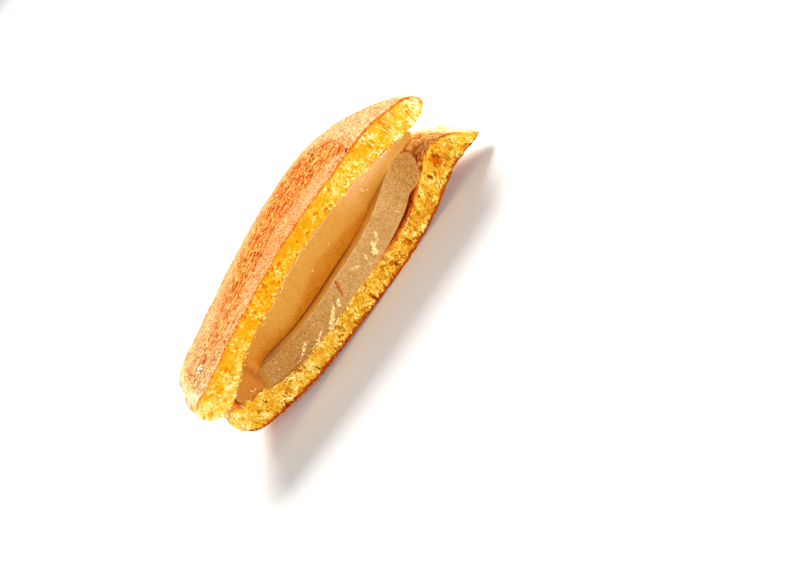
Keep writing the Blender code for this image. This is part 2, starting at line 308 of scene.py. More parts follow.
def cloud(a, b, size, seed, octaves=3):
    """Seeded noise between about -1 and 1, each octave half as large as the last."""
    heights = np.zeros(np.broadcast(a, b).shape)
    strength = 1.0
    for octave in range(octaves):
        grid = np.random.default_rng(seed + octave).random((NOISE_GRID, NOISE_GRID)) * 2.0 - 1.0
        grid_a = np.asarray(a) / size + OCTAVE_SHIFT[0] * octave
        grid_b = np.asarray(b) / size + OCTAVE_SHIFT[1] * octave
        left = np.floor(grid_a).astype(int)
        low = np.floor(grid_b).astype(int)
        in_a = rise(0.0, 1.0, grid_a - left)
        in_b = rise(0.0, 1.0, grid_b - low)
        near = lattice(grid, left, low) * (1 - in_a) + lattice(grid, left + 1, low) * in_a
        far = lattice(grid, left, low + 1) * (1 - in_a) + lattice(grid, left + 1, low + 1) * in_a
        heights = heights + strength * (near * (1 - in_b) + far * in_b)
        size = size / 2.0
        strength = strength / 2.0
    return heights


# ---- the forms of the solids, in millimetres -------------------------------------------------

TOP_OUTLINE_WAVES = ((2, 0.010), (5, -0.006))  # waves round the half, share of the radius
TOP_RIM_WAVES = ((50.0, 24.0, 1.8), (116.0, 28.0, -1.5), (154.0, 16.0, 1.7))  # degrees, width, height
BASE_OUTLINE_WAVES = ((1, -0.016), (3, 0.008), (4, 0.005))
PASTE_OUTLINE_WAVES = ((3, -0.012), (7, 0.006))
CRUST_UNEVENNESS = 0.12
SLAB_ROUNDING_RIGHT = 0.09
SLAB_ROUNDING_LEFT = 0.02
UPPER_ROUNDING = 0.05
UPPER_WRAP_FROM = 12.0  # degrees from +X
UPPER_WRAP_FULL = 38.0
WRAP_AT_CUT = (0.93, 0.96)  # fractions of the slab's radius
WRAP_BEHIND = (1.03, 1.11)
SHELF_LEFT_END = (-31.5, -24.5)
SHELF_RIGHT_END = (28.5, 17.0)
EMBED = 0.12  # how far the paste reaches into the crumb that it sticks to
SLIT_OPENED = 1.3  # how much taller the slit is than in the solids
FACE_REACH = 0.45  # largest depth of the cut's relief, as a share of the depth behind it
SEAM_RIGHT = 16.95  # height of the seam past the slab's right end
SHARP_FROM = math.radians(50.0)  # edges sharper than this aren't shaded smooth
LARGE_PORES = (  # x, z, half width, half height, tilt, depth
    (35.7, 9.0, 1.35, 2.1, -0.3, 0.9),
    (37.7, 7.0, 0.8, 1.2, 0.0, 0.4),
    (31.7, 7.5, 0.36, 0.7, 0.2, 1.1),
    (-20.5, 3.1, 0.32, 0.75, 0.1, 0.8),
    (-14.5, 2.3, 0.28, 0.65, -0.1, 0.7),
    (-6.7, 1.8, 0.34, 0.60, 0.0, 0.8),
    (0.8, 1.7, 0.42, 0.70, 0.1, 0.8),
    (10.4, 2.1, 0.38, 0.75, -0.2, 0.8),
    (16.6, 3.2, 0.40, 0.85, 0.2, 0.7),
    (23.0, 4.6, 0.7, 0.5, 0.4, 0.6),
    (-29.0, 6.0, 0.95, 0.55, -0.5, 0.6),
    (-33.9, 8.9, 0.34, 0.28, -0.4, 1.0),
    (-31.6, 4.6, 0.20, 0.70, -0.6, 0.9),
)


def top_pancake_surfaces(dorayaki, x, y):
    """Lower and upper surface of the top pancake."""
    top = dorayaki.dorayaki_top
    fraction, angle = polar(x, y, top.centre / MM, top.radius / MM)
    low = turned(top.low_right, top.low_left, fraction, angle)
    high = turned(top.high_right, top.high_left, fraction, angle)
    for place, width, height in TOP_RIM_WAVES:
        wave = height * bump(place, width, np.degrees(angle)) * rise(0.35, 1.0, fraction)
        low = low + wave
        high = high + wave
    high = high + CRUST_UNEVENNESS * uneven(x, y)
    return low, high, fraction, angle


def base_pancake_surfaces(dorayaki, x, y):
    """Lower and upper surface of the lower pancake."""
    base = dorayaki.dorayaki_base
    fraction, angle = polar(x, y, base.centre / MM, base.radius / MM)
    low = turned(base.low_right, base.low_left, fraction, angle)
    high = turned(base.high_right, base.high_left, fraction, angle)
    corner = np.exp(-(angle / base.corner_reach) ** 2)
    drooped_low = smooth_curve(base.corner_low, fraction) - smooth_curve(base.low_right, fraction)
    drooped_high = smooth_curve(base.corner_high, fraction) - smooth_curve(base.high_right, fraction)
    low = low + corner * drooped_low
    high = high + corner * drooped_high
    low = low - base.settle / MM * np.sin(angle) * np.sin(np.pi * np.clip(fraction, 0.0, 1.0))
    dip_left = 0.9 * bump(-39.0, 4.5, x) * (1.0 - rise(0.2, 2.6, y))
    swelling_right = 0.8 * bump(31.0, 4.5, x) * rise(0.3, 2.0, y)
    ridge_left = 1.7 * bump(-38.9, 3.6, x) * rise(0.6, 2.2, y) * rise(7.0, 4.0, y)
    return low, high - dip_left + swelling_right + ridge_left, fraction, angle


def dish(dorayaki, x, y):
    """The inside of the lower pancake, on which the paste lies."""
    low, high, fraction, _ = base_pancake_surfaces(dorayaki, x, y)
    return rounded_rim(low, high, fraction, dorayaki.dorayaki_base.rounding)[1]


def lid(dorayaki, x, y):
    """The inside of the top pancake."""
    low, high, fraction, _ = top_pancake_surfaces(dorayaki, x, y)
    return rounded_rim(low, high, fraction, dorayaki.dorayaki_top.rounding)[0]


def slab_surfaces(dorayaki, x, y):
    """Lower and upper surface of the lower paste layer."""
    paste = dorayaki.dorayaki_paste
    fraction, angle = polar(x, y, paste.slab_centre / MM, paste.slab_radius / MM)
    lift = turned(paste.lift_right, paste.lift_left, fraction, angle)
    slit_end = 0.4 * bump(25.5, 1.8, x) * rise(4.0, 0.0, y)
    low = dish(dorayaki, x, y) + lift * SLIT_OPENED + slit_end - EMBED
    high = turned(paste.slab_right, paste.slab_left, fraction, angle)
    return low, high, fraction, angle


def upper_paste_surfaces(dorayaki, x, y):
    """Lower and upper surface of the upper paste layer, which wraps round the slab."""
    paste = dorayaki.dorayaki_paste
    high = lid(dorayaki, x, y) + EMBED
    fraction, angle = polar(x, y, paste.slab_centre / MM, paste.slab_radius / MM)
    over_slab = turned(paste.slab_right, paste.slab_left, fraction, angle) - EMBED
    past_slab = rise(0.985, 1.03, fraction) * (1.0 + np.cos(angle)) / 2.0
    past_end = paste.upper_end / MM - 0.3 + 1.9 * rise(1.02, 1.14, fraction)
    over_slab = over_slab + (past_end - over_slab) * past_slab
    in_dish = dish(dorayaki, x, y) - EMBED
    wrap = rise(UPPER_WRAP_FROM, UPPER_WRAP_FULL, np.degrees(angle))
    wrap_start = WRAP_AT_CUT[0] + (WRAP_BEHIND[0] - WRAP_AT_CUT[0]) * np.sin(angle)
    wrap_end = WRAP_AT_CUT[1] + (WRAP_BEHIND[1] - WRAP_AT_CUT[1]) * np.sin(angle)
    low = over_slab + (in_dish - over_slab) * rise(wrap_start, wrap_end, fraction) * wrap
    low = np.minimum(low, high - EMBED)
    fraction, angle = polar(x, y, paste.upper_centre / MM, paste.upper_radius / MM)
    return low, high, fraction, angle


# ---- half rounds: rows of points along the cut, of any length, sewn together ------------------

LOWER_SIDE, UPPER_SIDE, CUT_SIDE = 0, 1, 2  # the sides of a skin
CROWDING = 0.15  # how much closer the points of a row stand at its ends
SECOND_LATER = 1e-9  # settles which row steps first where both would at once
LONGER_ROWS = 0.3  # how many more points, as a share, a row at the rim has than one at the cut
SMALLEST_SHARE = 1e-6  # keeps a division from one by 0
ROW_VALUES = (  # what a row keeps for each of its points
    "x", "y", "z", "side", "cut", "fraction", "angle", "below", "above", "pore", "down", "raised")


def spread(count):
    """Places between -1 and 1, a little closer together towards the ends."""
    even = np.linspace(-1.0, 1.0, count + 2)[1:-1]
    return even * (1.0 + CROWDING - CROWDING * even ** 2)


def sew(first, second):
    """Triangles between two rows of corners that run side by side."""
    steps = np.concatenate([
        np.arange(1, len(first)) / (len(first) - 1),
        np.arange(1, len(second)) / (len(second) - 1) + SECOND_LATER])
    on_second = np.concatenate([np.zeros(len(first) - 1, bool), np.ones(len(second) - 1, bool)])
    on_second = on_second[np.argsort(steps, kind="stable")]
    at_first = np.concatenate([[0], np.cumsum(~on_second)])[:-1]
    at_second = np.concatenate([[0], np.cumsum(on_second)])[:-1]
    next_first = first[np.minimum(at_first + 1, len(first) - 1)]
    next_second = second[np.minimum(at_second + 1, len(second) - 1)]
    third = np.where(on_second, next_second, next_first)
    return np.stack([first[at_first], second[at_second], third], axis=1)


class HalfRound:
    """A closed skin over half of a round, thin thing, and values kept for its corners.

    The rows run along the cut from the left end to the right end. They go back over the lower
    side, round the rim, forward over the upper side and down the cut face. What shapes them comes
    as functions: the two surfaces, the rounding of the rim, the swell of the outline, the relief
    of the cut face, and how far the skin leans along the cut towards its lower side.
    """

    def __init__(self, centre, radius, surfaces, rounding, swell, face, lean=None, floor=None):
        self.centre = centre
        self.radius = radius
        self.surfaces = surfaces
        self.rounding = rounding
        self.swell = swell
        self.face = face
        self.lean = lean or (lambda x, down: 0.0 * x)
        self.floor = floor
        self.rows = []

    def heights(self, x, y, relief):
        """Low and high side at places, with relief (raise of the low side, of the high side)."""
        low, high, fraction, angle = self.surfaces(x, y)
        rounding = self.rounding(angle)
        low_relief, high_relief = relief(x, y, fraction, angle)
        low, high = rounded_rim(low + low_relief, high + high_relief, fraction, rounding)
        if self.floor is not None:
            low = np.maximum(low, self.floor)
        return low, high, fraction, angle

    def back_at(self, x, fraction):
        """How far back the half round of this fraction of the radius reaches."""
        return np.sqrt(np.maximum((self.radius * fraction) ** 2 - (x - self.centre) ** 2, 0.0))

    def add_row(self, **known):
        """Keeps a row: places, and what the materials are made from, 0 where it isn't given."""
        self.rows.append({name: known.get(name, np.zeros_like(known["x"])) for name in ROW_VALUES})

    def add_side(self, side, nearness, counts, relief):
        """Rows over the lower or the upper side, between the cut and the rim."""
        for near, count in zip(nearness, counts):
            x = self.centre + self.radius * spread(count)
            back = self.back_at(x, 1.0)
            flat = self.back_at(x, 1.0 - self.rounding(math.pi / 2.0))
            down = np.full_like(x, side == LOWER_SIDE)
            at_cut = self.heights(x, 0.0 * x, relief)[:2]
            start = np.minimum(self.face(x, *at_cut, down)[0], FACE_REACH * back)
            round_part = RIM_HEIGHT + ROUND_SHARE * (back - flat)
            flat_share = flat / (flat + round_part)
            on_flat = flat * near / np.maximum(flat_share, SMALLEST_SHARE)
            turn = np.clip((near - flat_share) / (1.0 - flat_share), 0.0, 1.0) * math.pi / 2.0
            y = np.where(near < flat_share, on_flat, flat + (back - flat) * np.sin(turn))
            y = start + y * (back - start) / back
            low, high, fraction, angle = self.heights(x, y, relief)
            z = (low, high)[side]
            stretch = 1.0 + self.swell(fraction, angle, z)
            moved_x = self.centre + (x - self.centre) * stretch + self.lean(x, down)
            smooth = rounded_rim(*self.surfaces(x, y)[:2], fraction, self.rounding(angle))[side]
            self.add_row(
                x=moved_x, y=y * stretch, z=z, side=np.full_like(x, side), fraction=fraction,
                angle=angle, down=down, raised=z - smooth)

    def add_face(self, down_places, count, relief):
        """Rows down the cut face, between the first row of the upper side and of the lower."""
        x = self.centre + self.radius * spread(count)
        back = self.back_at(x, 1.0)
        low, high, fraction, angle = self.heights(x, 0.0 * x, relief)
        for down in down_places:
            z = high + (low - high) * down
            down = np.full_like(x, down)
            depth, pore = self.face(x, low, high, down)
            y = np.minimum(depth, FACE_REACH * back)
            self.add_row(
                x=x + self.lean(x, down), y=y, z=z, side=np.full_like(x, CUT_SIDE),
                cut=np.ones_like(x), fraction=fraction, angle=angle, below=high - z,
                above=z - low, pore=pore, down=down)

    def closed(self, relief, lower, upper, down_places, across_cut):
        """The whole skin; lower and upper are (nearness of the rows, points in a row at the cut)."""
        self.add_side(LOWER_SIDE, lower[0], counts_for(*lower), relief)
        self.add_side(UPPER_SIDE, upper[0], counts_for(*upper), relief)
        self.add_face(down_places, across_cut, relief)
        return self.skin()

    def skin(self):
        """The values of every corner, and the triangles between them."""
        ends = []
        for x in (self.centre - self.radius, self.centre + self.radius):
            low, high, fraction, angle = self.surfaces(np.array([x]), np.array([0.0]))
            ends.append((x, (low + high) / 2.0, fraction, angle))
        values = {}
        for name in self.rows[0]:
            values[name] = np.concatenate([row[name] for row in self.rows])
        for x, z, fraction, angle in ends:
            row = dict(x=[x], y=[0.0], z=z, fraction=fraction, angle=angle)
            for name in values:
                values[name] = np.append(values[name], row.get(name, [0.0]))
        right = len(values["x"]) - 1
        left = right - 1
        starts = np.cumsum([0] + [len(row["x"]) for row in self.rows])
        corner_rows = [np.arange(start, end) for start, end in zip(starts[:-1], starts[1:])]
        triangles = []
        for place, row in enumerate(corner_rows):
            after = corner_rows[(place + 1) % len(corner_rows)]
            triangles.append(sew(row, after))
            triangles.append(np.array([[row[0], left, after[0]], [row[-1], after[-1], right]]))
        return values, np.concatenate(triangles)


def rows_to_rim(count, power):
    """Nearness to the rim of rows that crowd towards it."""
    return 1.0 - (1.0 - np.arange(count + 1) / count) ** power


def rows_from_rim(count, power):
    """The same rows from the rim back to the cut, without the one on the rim."""
    return rows_to_rim(count, power)[-2::-1]


def rows_down(count):
    """Places down the cut, between its two edges."""
    return np.linspace(0.0, 1.0, count)[1:-1]


def counts_for(nearness, at_cut):
    """Points in a row: more on the longer rows near the rim."""
    return (at_cut * (1.0 + LONGER_ROWS * np.asarray(nearness))).astype(int)


def frame_shift():
    """What moves the forms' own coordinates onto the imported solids, in metres."""
    slab_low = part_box("filling_lower")[0]
    paste = bpy.context.scene.dorayaki_paste
    left_end = paste.slab_centre - paste.slab_radius
    return np.array([slab_low[0] - left_end, slab_low[1], 0.0])


def make_piece(name, values, triangles, kept, material):
    """An object of a skin, with the kept values as attributes of its corners."""
    corners = np.stack([values["x"], values["y"], values["z"]], axis=1) * MM + frame_shift()
    mesh = bpy.data.meshes.new(name)
    mesh.from_pydata(corners.tolist(), [], triangles.tolist())
    for kind, numbers in kept.items():
        on_corners = mesh.attributes.new(kind, "FLOAT", "POINT")
        on_corners.data.foreach_set("value", numbers.astype(np.float32))
    mesh.materials.append(material)
    mesh.update()
    mesh.shade_smooth()
    mesh.set_sharp_from_angle(angle=SHARP_FROM)
    piece = bpy.data.objects.new(name, mesh)
    bpy.context.scene.collection.objects.link(piece)
    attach(piece, "root")
    return piece


# ---- relief -----------------------------------------------------------------------------------

CELL_GRID = 64  # cells a side before they repeat
CELL_MARGIN = 0.1  # how far the point of a cell keeps from the cell's own edges
CELL_SWAY = 0.8


def cells(a, b, seed):
    """Jittered cells one unit wide: distance from the nearest wall, and a random share a cell."""
    sway_a, sway_b, share_of_cell = np.random.default_rng(seed).random((3, CELL_GRID, CELL_GRID))
    cell_a = np.floor(a).astype(int)
    cell_b = np.floor(b).astype(int)
    nearest = np.full(np.shape(a), np.inf)
    second = np.full(np.shape(a), np.inf)
    picked = np.zeros(np.shape(a))
    for step_a in (-1, 0, 1):
        for step_b in (-1, 0, 1):
            at = (cell_a + step_a) % CELL_GRID, (cell_b + step_b) % CELL_GRID
            away_a = cell_a + step_a + CELL_MARGIN + CELL_SWAY * sway_a[at] - a
            away_b = cell_b + step_b + CELL_MARGIN + CELL_SWAY * sway_b[at] - b
            away = np.hypot(away_a, away_b)
            second = np.where(away < nearest, nearest, np.minimum(second, away))
            picked = np.where(away < nearest, share_of_cell[at], picked)
            nearest = np.minimum(nearest, away)
    return second - nearest, picked


def torn_crumb(across, deep, seed, hollow=0.35):
    """Openness of a torn crumb, 0 on a wall and 1 in a deep pore, and its pale flecks, 0 to 1.

    Clusters of fine flecks and pits stand between smooth shallow hollows.
    """
    clusters = rise(-0.9, 0.7, cloud(across, deep, 1.5, seed, 3))
    fine = cloud(across, deep, 0.38, seed + 20, 2)
    flecks = (0.25 + 0.75 * clusters) * rise(0.0, 0.7, fine)
    pits = (0.4 + 0.6 * clusters) * rise(0.2, 0.85, -fine)
    warp = 0.35 * cloud(across, deep, 1.4, seed + 3, 2)
    wall, share_deep = cells(across / 1.2 + warp, deep / 1.2 + warp, seed)
    pores = rise(0.05, 0.45, wall) * rise(0.74, 0.95, share_deep)
    return np.maximum.reduce((hollow * (1.0 - clusters), 0.75 * pits, 0.9 * pores)), flecks


def top_crumb(across, deep):
    """The top pancake's crumb: strands slant at the left end and stand upright at the right."""
    left = rise(-20.0, -30.0, across)
    right = rise(18.0, 28.0, across) * rise(6.0, 3.5, deep)
    slanting = torn_crumb((0.8 * across + 0.6 * deep) / 1.9, 0.8 * deep - 0.6 * across, 60)
    plain = torn_crumb(across, deep, 64)
    upright = torn_crumb(across, deep / 2.0, 68)
    middle = 1.0 - left - right
    return [a * left + b * middle + c * right for a, b, c in zip(slanting, plain, upright)]


def base_crumb(across, deep, cut=1.0):
    """The lower pancake's crumb, with larger hollows and clusters at the right end of the cut."""
    opened, flecks = torn_crumb(across, deep, 160, hollow=0.5)
    clusters = cloud(across, deep, 1.9, 180, 2)
    right = cut * rise(12.0, 22.0, across)
    hollows = right * rise(0.2, 0.6, clusters)
    creamy = right * rise(0.0, -0.5, clusters)
    return np.maximum(opened, 0.5 * hollows), flecks * (1.0 - 0.6 * hollows) + 0.35 * creamy


def single_pores(x, z, pores):
    """Openness of the pores that show one by one, times their depth."""
    opened = np.zeros_like(x)
    edge = 0.8 * cloud(x, z, 1.0, 90, 2)
    for pore_x, pore_z, half_width, half_height, tilt, depth in pores:
        along = ((x - pore_x) * math.cos(tilt) + (z - pore_z) * math.sin(tilt)) / half_width
        across = ((z - pore_z) * math.cos(tilt) - (x - pore_x) * math.sin(tilt)) / half_height
        hole = np.sqrt(np.clip(1.0 - along ** 2 - across ** 2 + edge, 0.0, 1.0))
        opened = np.maximum(opened, depth * hole)
    return opened


def torn_depth(across, below, flecks, fine, seed):
    """How deep the cut is torn between its pores, least at the flecks."""
    return fine * (1.0 - flecks) + 0.06 * (1.0 + cloud(across, below, 2.4, seed, 3))


def crumb_places(values):
    """Two lengths in millimetres that spread over a piece's crumb, on the cut and round the rim."""
    cut = values["cut"] > 0.5
    around = np.degrees(values["angle"]) * RIM_PER_DEGREE
    rising = np.where(values["side"] == UPPER_SIDE, -values["z"], values["z"])
    outwards = PANCAKE_RADIUS * values["fraction"] + rising
    return np.where(cut, values["x"], around), np.where(cut, values["below"], outwards)


def crumbly_rim(fraction, angle, z, seed):
    """Bumps of a rim that is all crumb, as a share of the radius."""
    degrees = np.degrees(angle)
    outwards = PANCAKE_RADIUS * fraction
    rough = 0.010 + 0.008 * rise(115.0, 140.0, degrees) + 0.006 * rise(45.0, 20.0, degrees)
    coarse = rough * cloud(degrees, z + 0.5 * outwards, 3.4, seed, 3)
    fine = 0.0055 * (cloud(degrees, z, 1.1, seed + 7, 2) + cloud(degrees, outwards, 1.1, seed + 9, 2))
    return (coarse + fine + 0.004) * np.sin(np.clip(angle, 0.0, math.pi)) ** 0.2


def outline_swell(waves, crumbly_seed=None):
    """A function for how far a half round's outline swells, as a share of its radius."""
    def swell(fraction, angle, z):
        wave = sum(size * np.sin(count * angle) for count, size in waves) * rise(0.6, 1.0, fraction)
        if crumbly_seed is None:
            return wave
        return wave + crumbly_rim(fraction, angle, z, crumbly_seed) * rise(0.93, 1.0, fraction)
    return swell


def crust_height(x, y, wrinkled, seed):
    """Raise of a baked crust over its smooth form: a fine grain, and wrinkles where it shrank."""
    grain = cloud(x, y, 0.8, seed, 2)
    ridges = 1.0 - 2.0 * np.abs(cloud(x * 0.4, y, 0.8, seed + 11, 2))
    return 0.035 * grain + wrinkled * ridges


# ---- materials --------------------------------------------------------------------------------

SCATTER_COLOURS = (0.8, 0.7, 0.4)  # how far red, green and blue light wander in crumb and paste
NOISE_SPREAD = 2.2  # noise keeps near its middle, so it is spread out to reach its full swing
DEEPENING = (0.0, 0.13, 0.52, 1.0)  # from the pale rim to the inside of a pore
PLAIN_CRUMB = 0.47  # where crumb with no pores or flecks stands between those
# Colour deepens with a pore's depth: painted shade in the pores, over the crumb's own deeper orange.
PORE_DEEPENS = 0.62
PALE_LIGHTENS = 0.5
BAKING = (0.0, 0.34, 0.66, 1.0)  # from bare to dark crust


def plug(value, socket):
    """Links a socket into another, or sets a plain value on it."""
    if isinstance(value, bpy.types.NodeSocket):
        value.node.id_data.links.new(value, socket)
    else:
        socket.default_value = value


def new_node(tree, kind, inputs=None, **settings):
    """Adds a shader node, sets its fields, and links or sets its inputs."""
    node = tree.nodes.new(kind)
    for name, value in settings.items():
        setattr(node, name, value)
    for name, value in (inputs or {}).items():
        plug(value, node.inputs[name])
    return node


def attribute(tree, name):
    """The value kept for the corners under this name."""
    return new_node(tree, "ShaderNodeAttribute", attribute_name=name).outputs["Fac"]


def noise(tree, size, detail=3.0, roughness=0.55, stretch=(1.0, 1.0, 1.0)):
    """Noise in the object's own space; size is the width of its largest blobs in millimetres."""
    place = new_node(tree, "ShaderNodeTexCoord").outputs["Object"]
    mapped = new_node(tree, "ShaderNodeMapping", {"Vector": place, "Scale": stretch})
    fields = {"Vector": mapped.outputs["Vector"], "Scale": 1.0 / (size * MM),
              "Detail": detail, "Roughness": roughness}
    return new_node(tree, "ShaderNodeTexNoise", fields).outputs["Fac"]


def speckle(tree, size, strength, detail=3.0, roughness=0.6, stretch=(1.0, 1.0, 1.0)):
    """Noise round 0, with the strength as about its largest swing."""
    spread_out = NOISE_SPREAD * strength
    shade = noise(tree, size, detail, roughness, stretch)
    return maths(tree, "MULTIPLY_ADD", shade, spread_out, -0.5 * spread_out)


def total(tree, *values):
    """The sum of some values."""
    result = values[0]
    for value in values[1:]:
        result = maths(tree, "ADD", result, value)
    return result


def maths(tree, operation, first, second=0.0, third=0.0):
    """One step of arithmetic."""
    node = new_node(tree, "ShaderNodeMath", {0: first, 1: second, 2: third}, operation=operation)
    return node.outputs[0]


def ramp(tree, factor, stops):
    """Colours by a value: stops are (value, colour)."""
    stops = list(stops)
    node = new_node(tree, "ShaderNodeValToRGB", {"Fac": factor})
    elements = node.color_ramp.elements
    elements[0].position = stops[0][0]
    elements[0].color = (*stops[0][1], 1.0)
    elements[1].position = stops[-1][0]
    elements[1].color = (*stops[-1][1], 1.0)
    for position, colour in stops[1:-1]:
        elements.new(position).color = (*colour, 1.0)
    return node.outputs["Color"]


def blend_colours(tree, factor, first, second):
    """The first colour where the factor is 0, the second where it is 1."""
    node = new_node(tree, "ShaderNodeMix", {0: factor, 6: first, 7: second}, data_type="RGBA")
    return node.outputs[2]


def start_material(name):
    """A new material with its node tree and its shader."""
    material = bpy.data.materials.new(name)
    material.use_nodes = True
    tree = material.node_tree
    return material, tree, tree.nodes["Principled BSDF"]


def make_spongy(shader, scatter_mm, weight):
    """Lets light wander inside, red light further; the weight may be a number or a socket."""
    plug(weight, shader.inputs["Subsurface Weight"])
    shader.inputs["Subsurface Radius"].default_value = SCATTER_COLOURS
    shader.inputs["Subsurface Scale"].default_value = scatter_mm * MM


def pancake_material(name, settings, crust):
    """Crumb where the piece is cut and crust where it is baked."""
    material, tree, shader = start_material(name)
    flecks = speckle(tree, 0.5, 0.5, 3.0, 0.7)
    depth = maths(tree, "MULTIPLY_ADD", attribute(tree, "pore"), PORE_DEEPENS, PLAIN_CRUMB)
    depth = maths(tree, "MULTIPLY_ADD", attribute(tree, "pale"), -PALE_LIGHTENS, depth)
    depth = total(tree, depth, flecks, speckle(tree, 4.0, 0.16))
    crumb = ramp(tree, depth, zip(DEEPENING, (
        settings.rim_colour, settings.crumb_pale, settings.crumb, settings.crumb_deep)))

    dots = speckle(tree, 0.48, 1.15, 2.0, 0.65)
    creases = speckle(tree, 0.52, 3.4, 1.0, 0.5, (0.4, 1.0, 1.0))
    folds = maths(tree, "MULTIPLY", creases, attribute(tree, "matt"))
    baked = total(tree, attribute(tree, "brown"), dots, speckle(tree, 2.6, 0.12))
    baked = maths(tree, "MULTIPLY_ADD", folds, 0.38, baked)
    crust_colour = ramp(tree, baked, zip(BAKING, (
        crust.bare, crust.light, crust.baked, crust.dark)))
    seared_colour = ramp(tree, baked, zip(BAKING, (
        crust.seared_pale, crust.seared_light, crust.seared, crust.seared_dark)))
    on_crust = attribute(tree, "crust")
    warm = attribute(tree, "warm")
    crumb = blend_colours(tree, warm, crumb, (*settings.warm, 1.0))
    crust_colour = blend_colours(tree, warm, crust_colour, seared_colour)
    colour = blend_colours(tree, on_crust, crumb, crust_colour)
    # Reddens the crust's edge lines and deep pores, and paints a glow of light through the crumb where the
    # lower pancake lies in shade.
    colour = blend_colours(tree, attribute(tree, "glow"), colour, (*crust.glow, 1.0))
    tree.links.new(colour, shader.inputs["Base Color"])

    rough = maths(tree, "MULTIPLY_ADD", on_crust, -0.3, 0.92)
    rough = maths(tree, "MULTIPLY_ADD", attribute(tree, "matt"), 0.2, rough)
    tree.links.new(rough, shader.inputs["Roughness"])
    height = maths(tree, "MULTIPLY", total(tree, flecks, dots, maths(tree, "MULTIPLY", folds, 0.25)), -1.0)
    bumped = new_node(tree, "ShaderNodeBump", {"Height": height, "Strength": 0.8, "Distance": 0.3 * MM})
    tree.links.new(bumped.outputs["Normal"], shader.inputs["Normal"])
    shader.inputs["Specular IOR Level"].default_value = 0.08
    make_spongy(shader, 0.45, maths(tree, "MULTIPLY_ADD", on_crust, -0.35, 0.45))
    return material


def paste_material(name, colour, deep, thin, settings, roughness, grain_stretch):
    """Smooth, moist bean paste with a fine grain."""
    material, tree, shader = start_material(name)
    grain = speckle(tree, 0.38, 1.15, 3.0, 0.75, (1.0, 1.0, grain_stretch))
    value = total(tree, attribute(tree, "deep"), grain, speckle(tree, 5.0, 0.24))
    value = maths(tree, "MULTIPLY", value, 0.5)
    base = ramp(tree, value, ((0.0, colour), (0.5, deep), (1.0, settings.seam)))
    # The lighter colour: pinker paste on the upper layer, and on the slab, painted light on its shaded upper
    # side.
    base = blend_colours(tree, attribute(tree, "blush"), base, (*thin, 1.0))
    # Mixes in the painted highlight along the slab's lip.
    base = blend_colours(tree, attribute(tree, "film"), base, (*settings.film, 1.0))
    tree.links.new(base, shader.inputs["Base Color"])
    rough = maths(tree, "MULTIPLY_ADD", grain, 0.2, roughness)
    tree.links.new(rough, shader.inputs["Roughness"])
    bumped = new_node(tree, "ShaderNodeBump", {"Height": grain, "Strength": 0.4, "Distance": 0.1 * MM})
    tree.links.new(bumped.outputs["Normal"], shader.inputs["Normal"])
    shader.inputs["Specular IOR Level"].default_value = 0.18
    make_spongy(shader, 1.0, 0.4)
    return material


# ---- pieces -----------------------------------------------------------------------------------

BAND_NEAR_EDGE = (  # x, y of the wrinkled band's edge on the side of the cut
    (-24.0, 4.5), (-20.0, 6.6), (-11.3, 8.8), (-0.7, 10.6), (10.1, 11.8), (20.0, 7.7), (24.0, 1.8))
BAND_FAR_EDGE = (
    (-24.0, 16.0), (-18.5, 20.4), (-9.4, 26.4), (1.8, 30.2), (13.1, 31.9), (20.0, 29.0), (27.0, 18.0))
CUT_PALEST = 0.95  # limits of how pale the crumb gets on the cut and round the rim
BASE_CUT_PALEST = 0.85
RIM_PALEST = 1.5


def along(points, x):
    """Height of a line through points at x."""
    return np.interp(x, [point[0] for point in points], [point[1] for point in points])


def wrinkled_band(x, y):
    """Where the crust shrank into wrinkles, 0 to 1, and how near its front edge."""
    ragged = 2.2 * cloud(x * 0.6, y, 3.0, 20, 3)
    from_edge = y - along(BAND_NEAR_EDGE, x) + ragged
    past_edge = y - along(BAND_FAR_EDGE, x) + ragged
    inside = rise(-1.2, 1.6, from_edge) * rise(6.0, -5.0, past_edge)
    inside = inside * rise(-28.0, -18.0, x + ragged) * rise(29.5, 23.5, x + 0.6 * ragged)
    left_patch = 0.75 * bump(-27.0, 7.0, x) * bump(8.5, 6.5, y + ragged)
    front_line = bump(1.4, 1.3, from_edge) * rise(-24.0, -17.0, x) * rise(26.0, 20.0, x)
    return np.clip(np.maximum(inside, left_patch), 0.0, 1.0), front_line


def top_browning(values, blotch, band, front_line):
    """How brown the top crust is: mottled, darkest where it wrinkled, paler towards its ends, with raised
    crust painted paler as highlight and sunken crust browner as shade.
    """
    x, y = values["x"], values["y"]
    smooth = 1.0 - band
    brown = 0.38 + 0.05 * blotch + 0.12 * band + 0.12 * front_line - 0.04 * bump(-22.0, 8.0, x)
    brown = brown + 0.03 * bump(0.0, 22.0, x) * smooth
    brown = brown + 0.05 * rise(-8.0, -16.0, x) * rise(8.0, 14.0, y) * smooth
    brown = brown - 0.06 * rise(-18.0, -30.0, x) - 0.06 * rise(18.0, 30.0, x)
    brown = brown - 0.06 * rise(20.0, 32.0, y)
    # Painted highlight and shade: raised crust is painted paler and sunken crust browner.
    brown = brown - (1.1 + 0.3 * band) * (values["raised"] - 0.05 * band)
    dark_patch = 0.30 * bump(-19.5, 2.6, x) * bump(15.5, 1.6, y)
    dark_dash = 0.35 * bump(-34.8, 0.8, x) * bump(8.6, 1.3, y)
    return brown + dark_patch + dark_dash


def top_edge_line(values):
    """The crust's edge along the top of the cut, and how much thicker it is to the right."""
    x, fraction = values["x"], values["fraction"]
    thicker = 0.25 * rise(14.0, 26.0, x)
    ragged = 0.16 * cloud(x, values["z"], 0.8, 71, 2)
    line = 1.0 - rise(0.22, 0.55, values["below"] - thicker + ragged)
    line = line * (1.0 - rise(0.955, 0.975, fraction))
    return line * rise(-0.1, 0.5, values["above"] - values["below"]), thicker


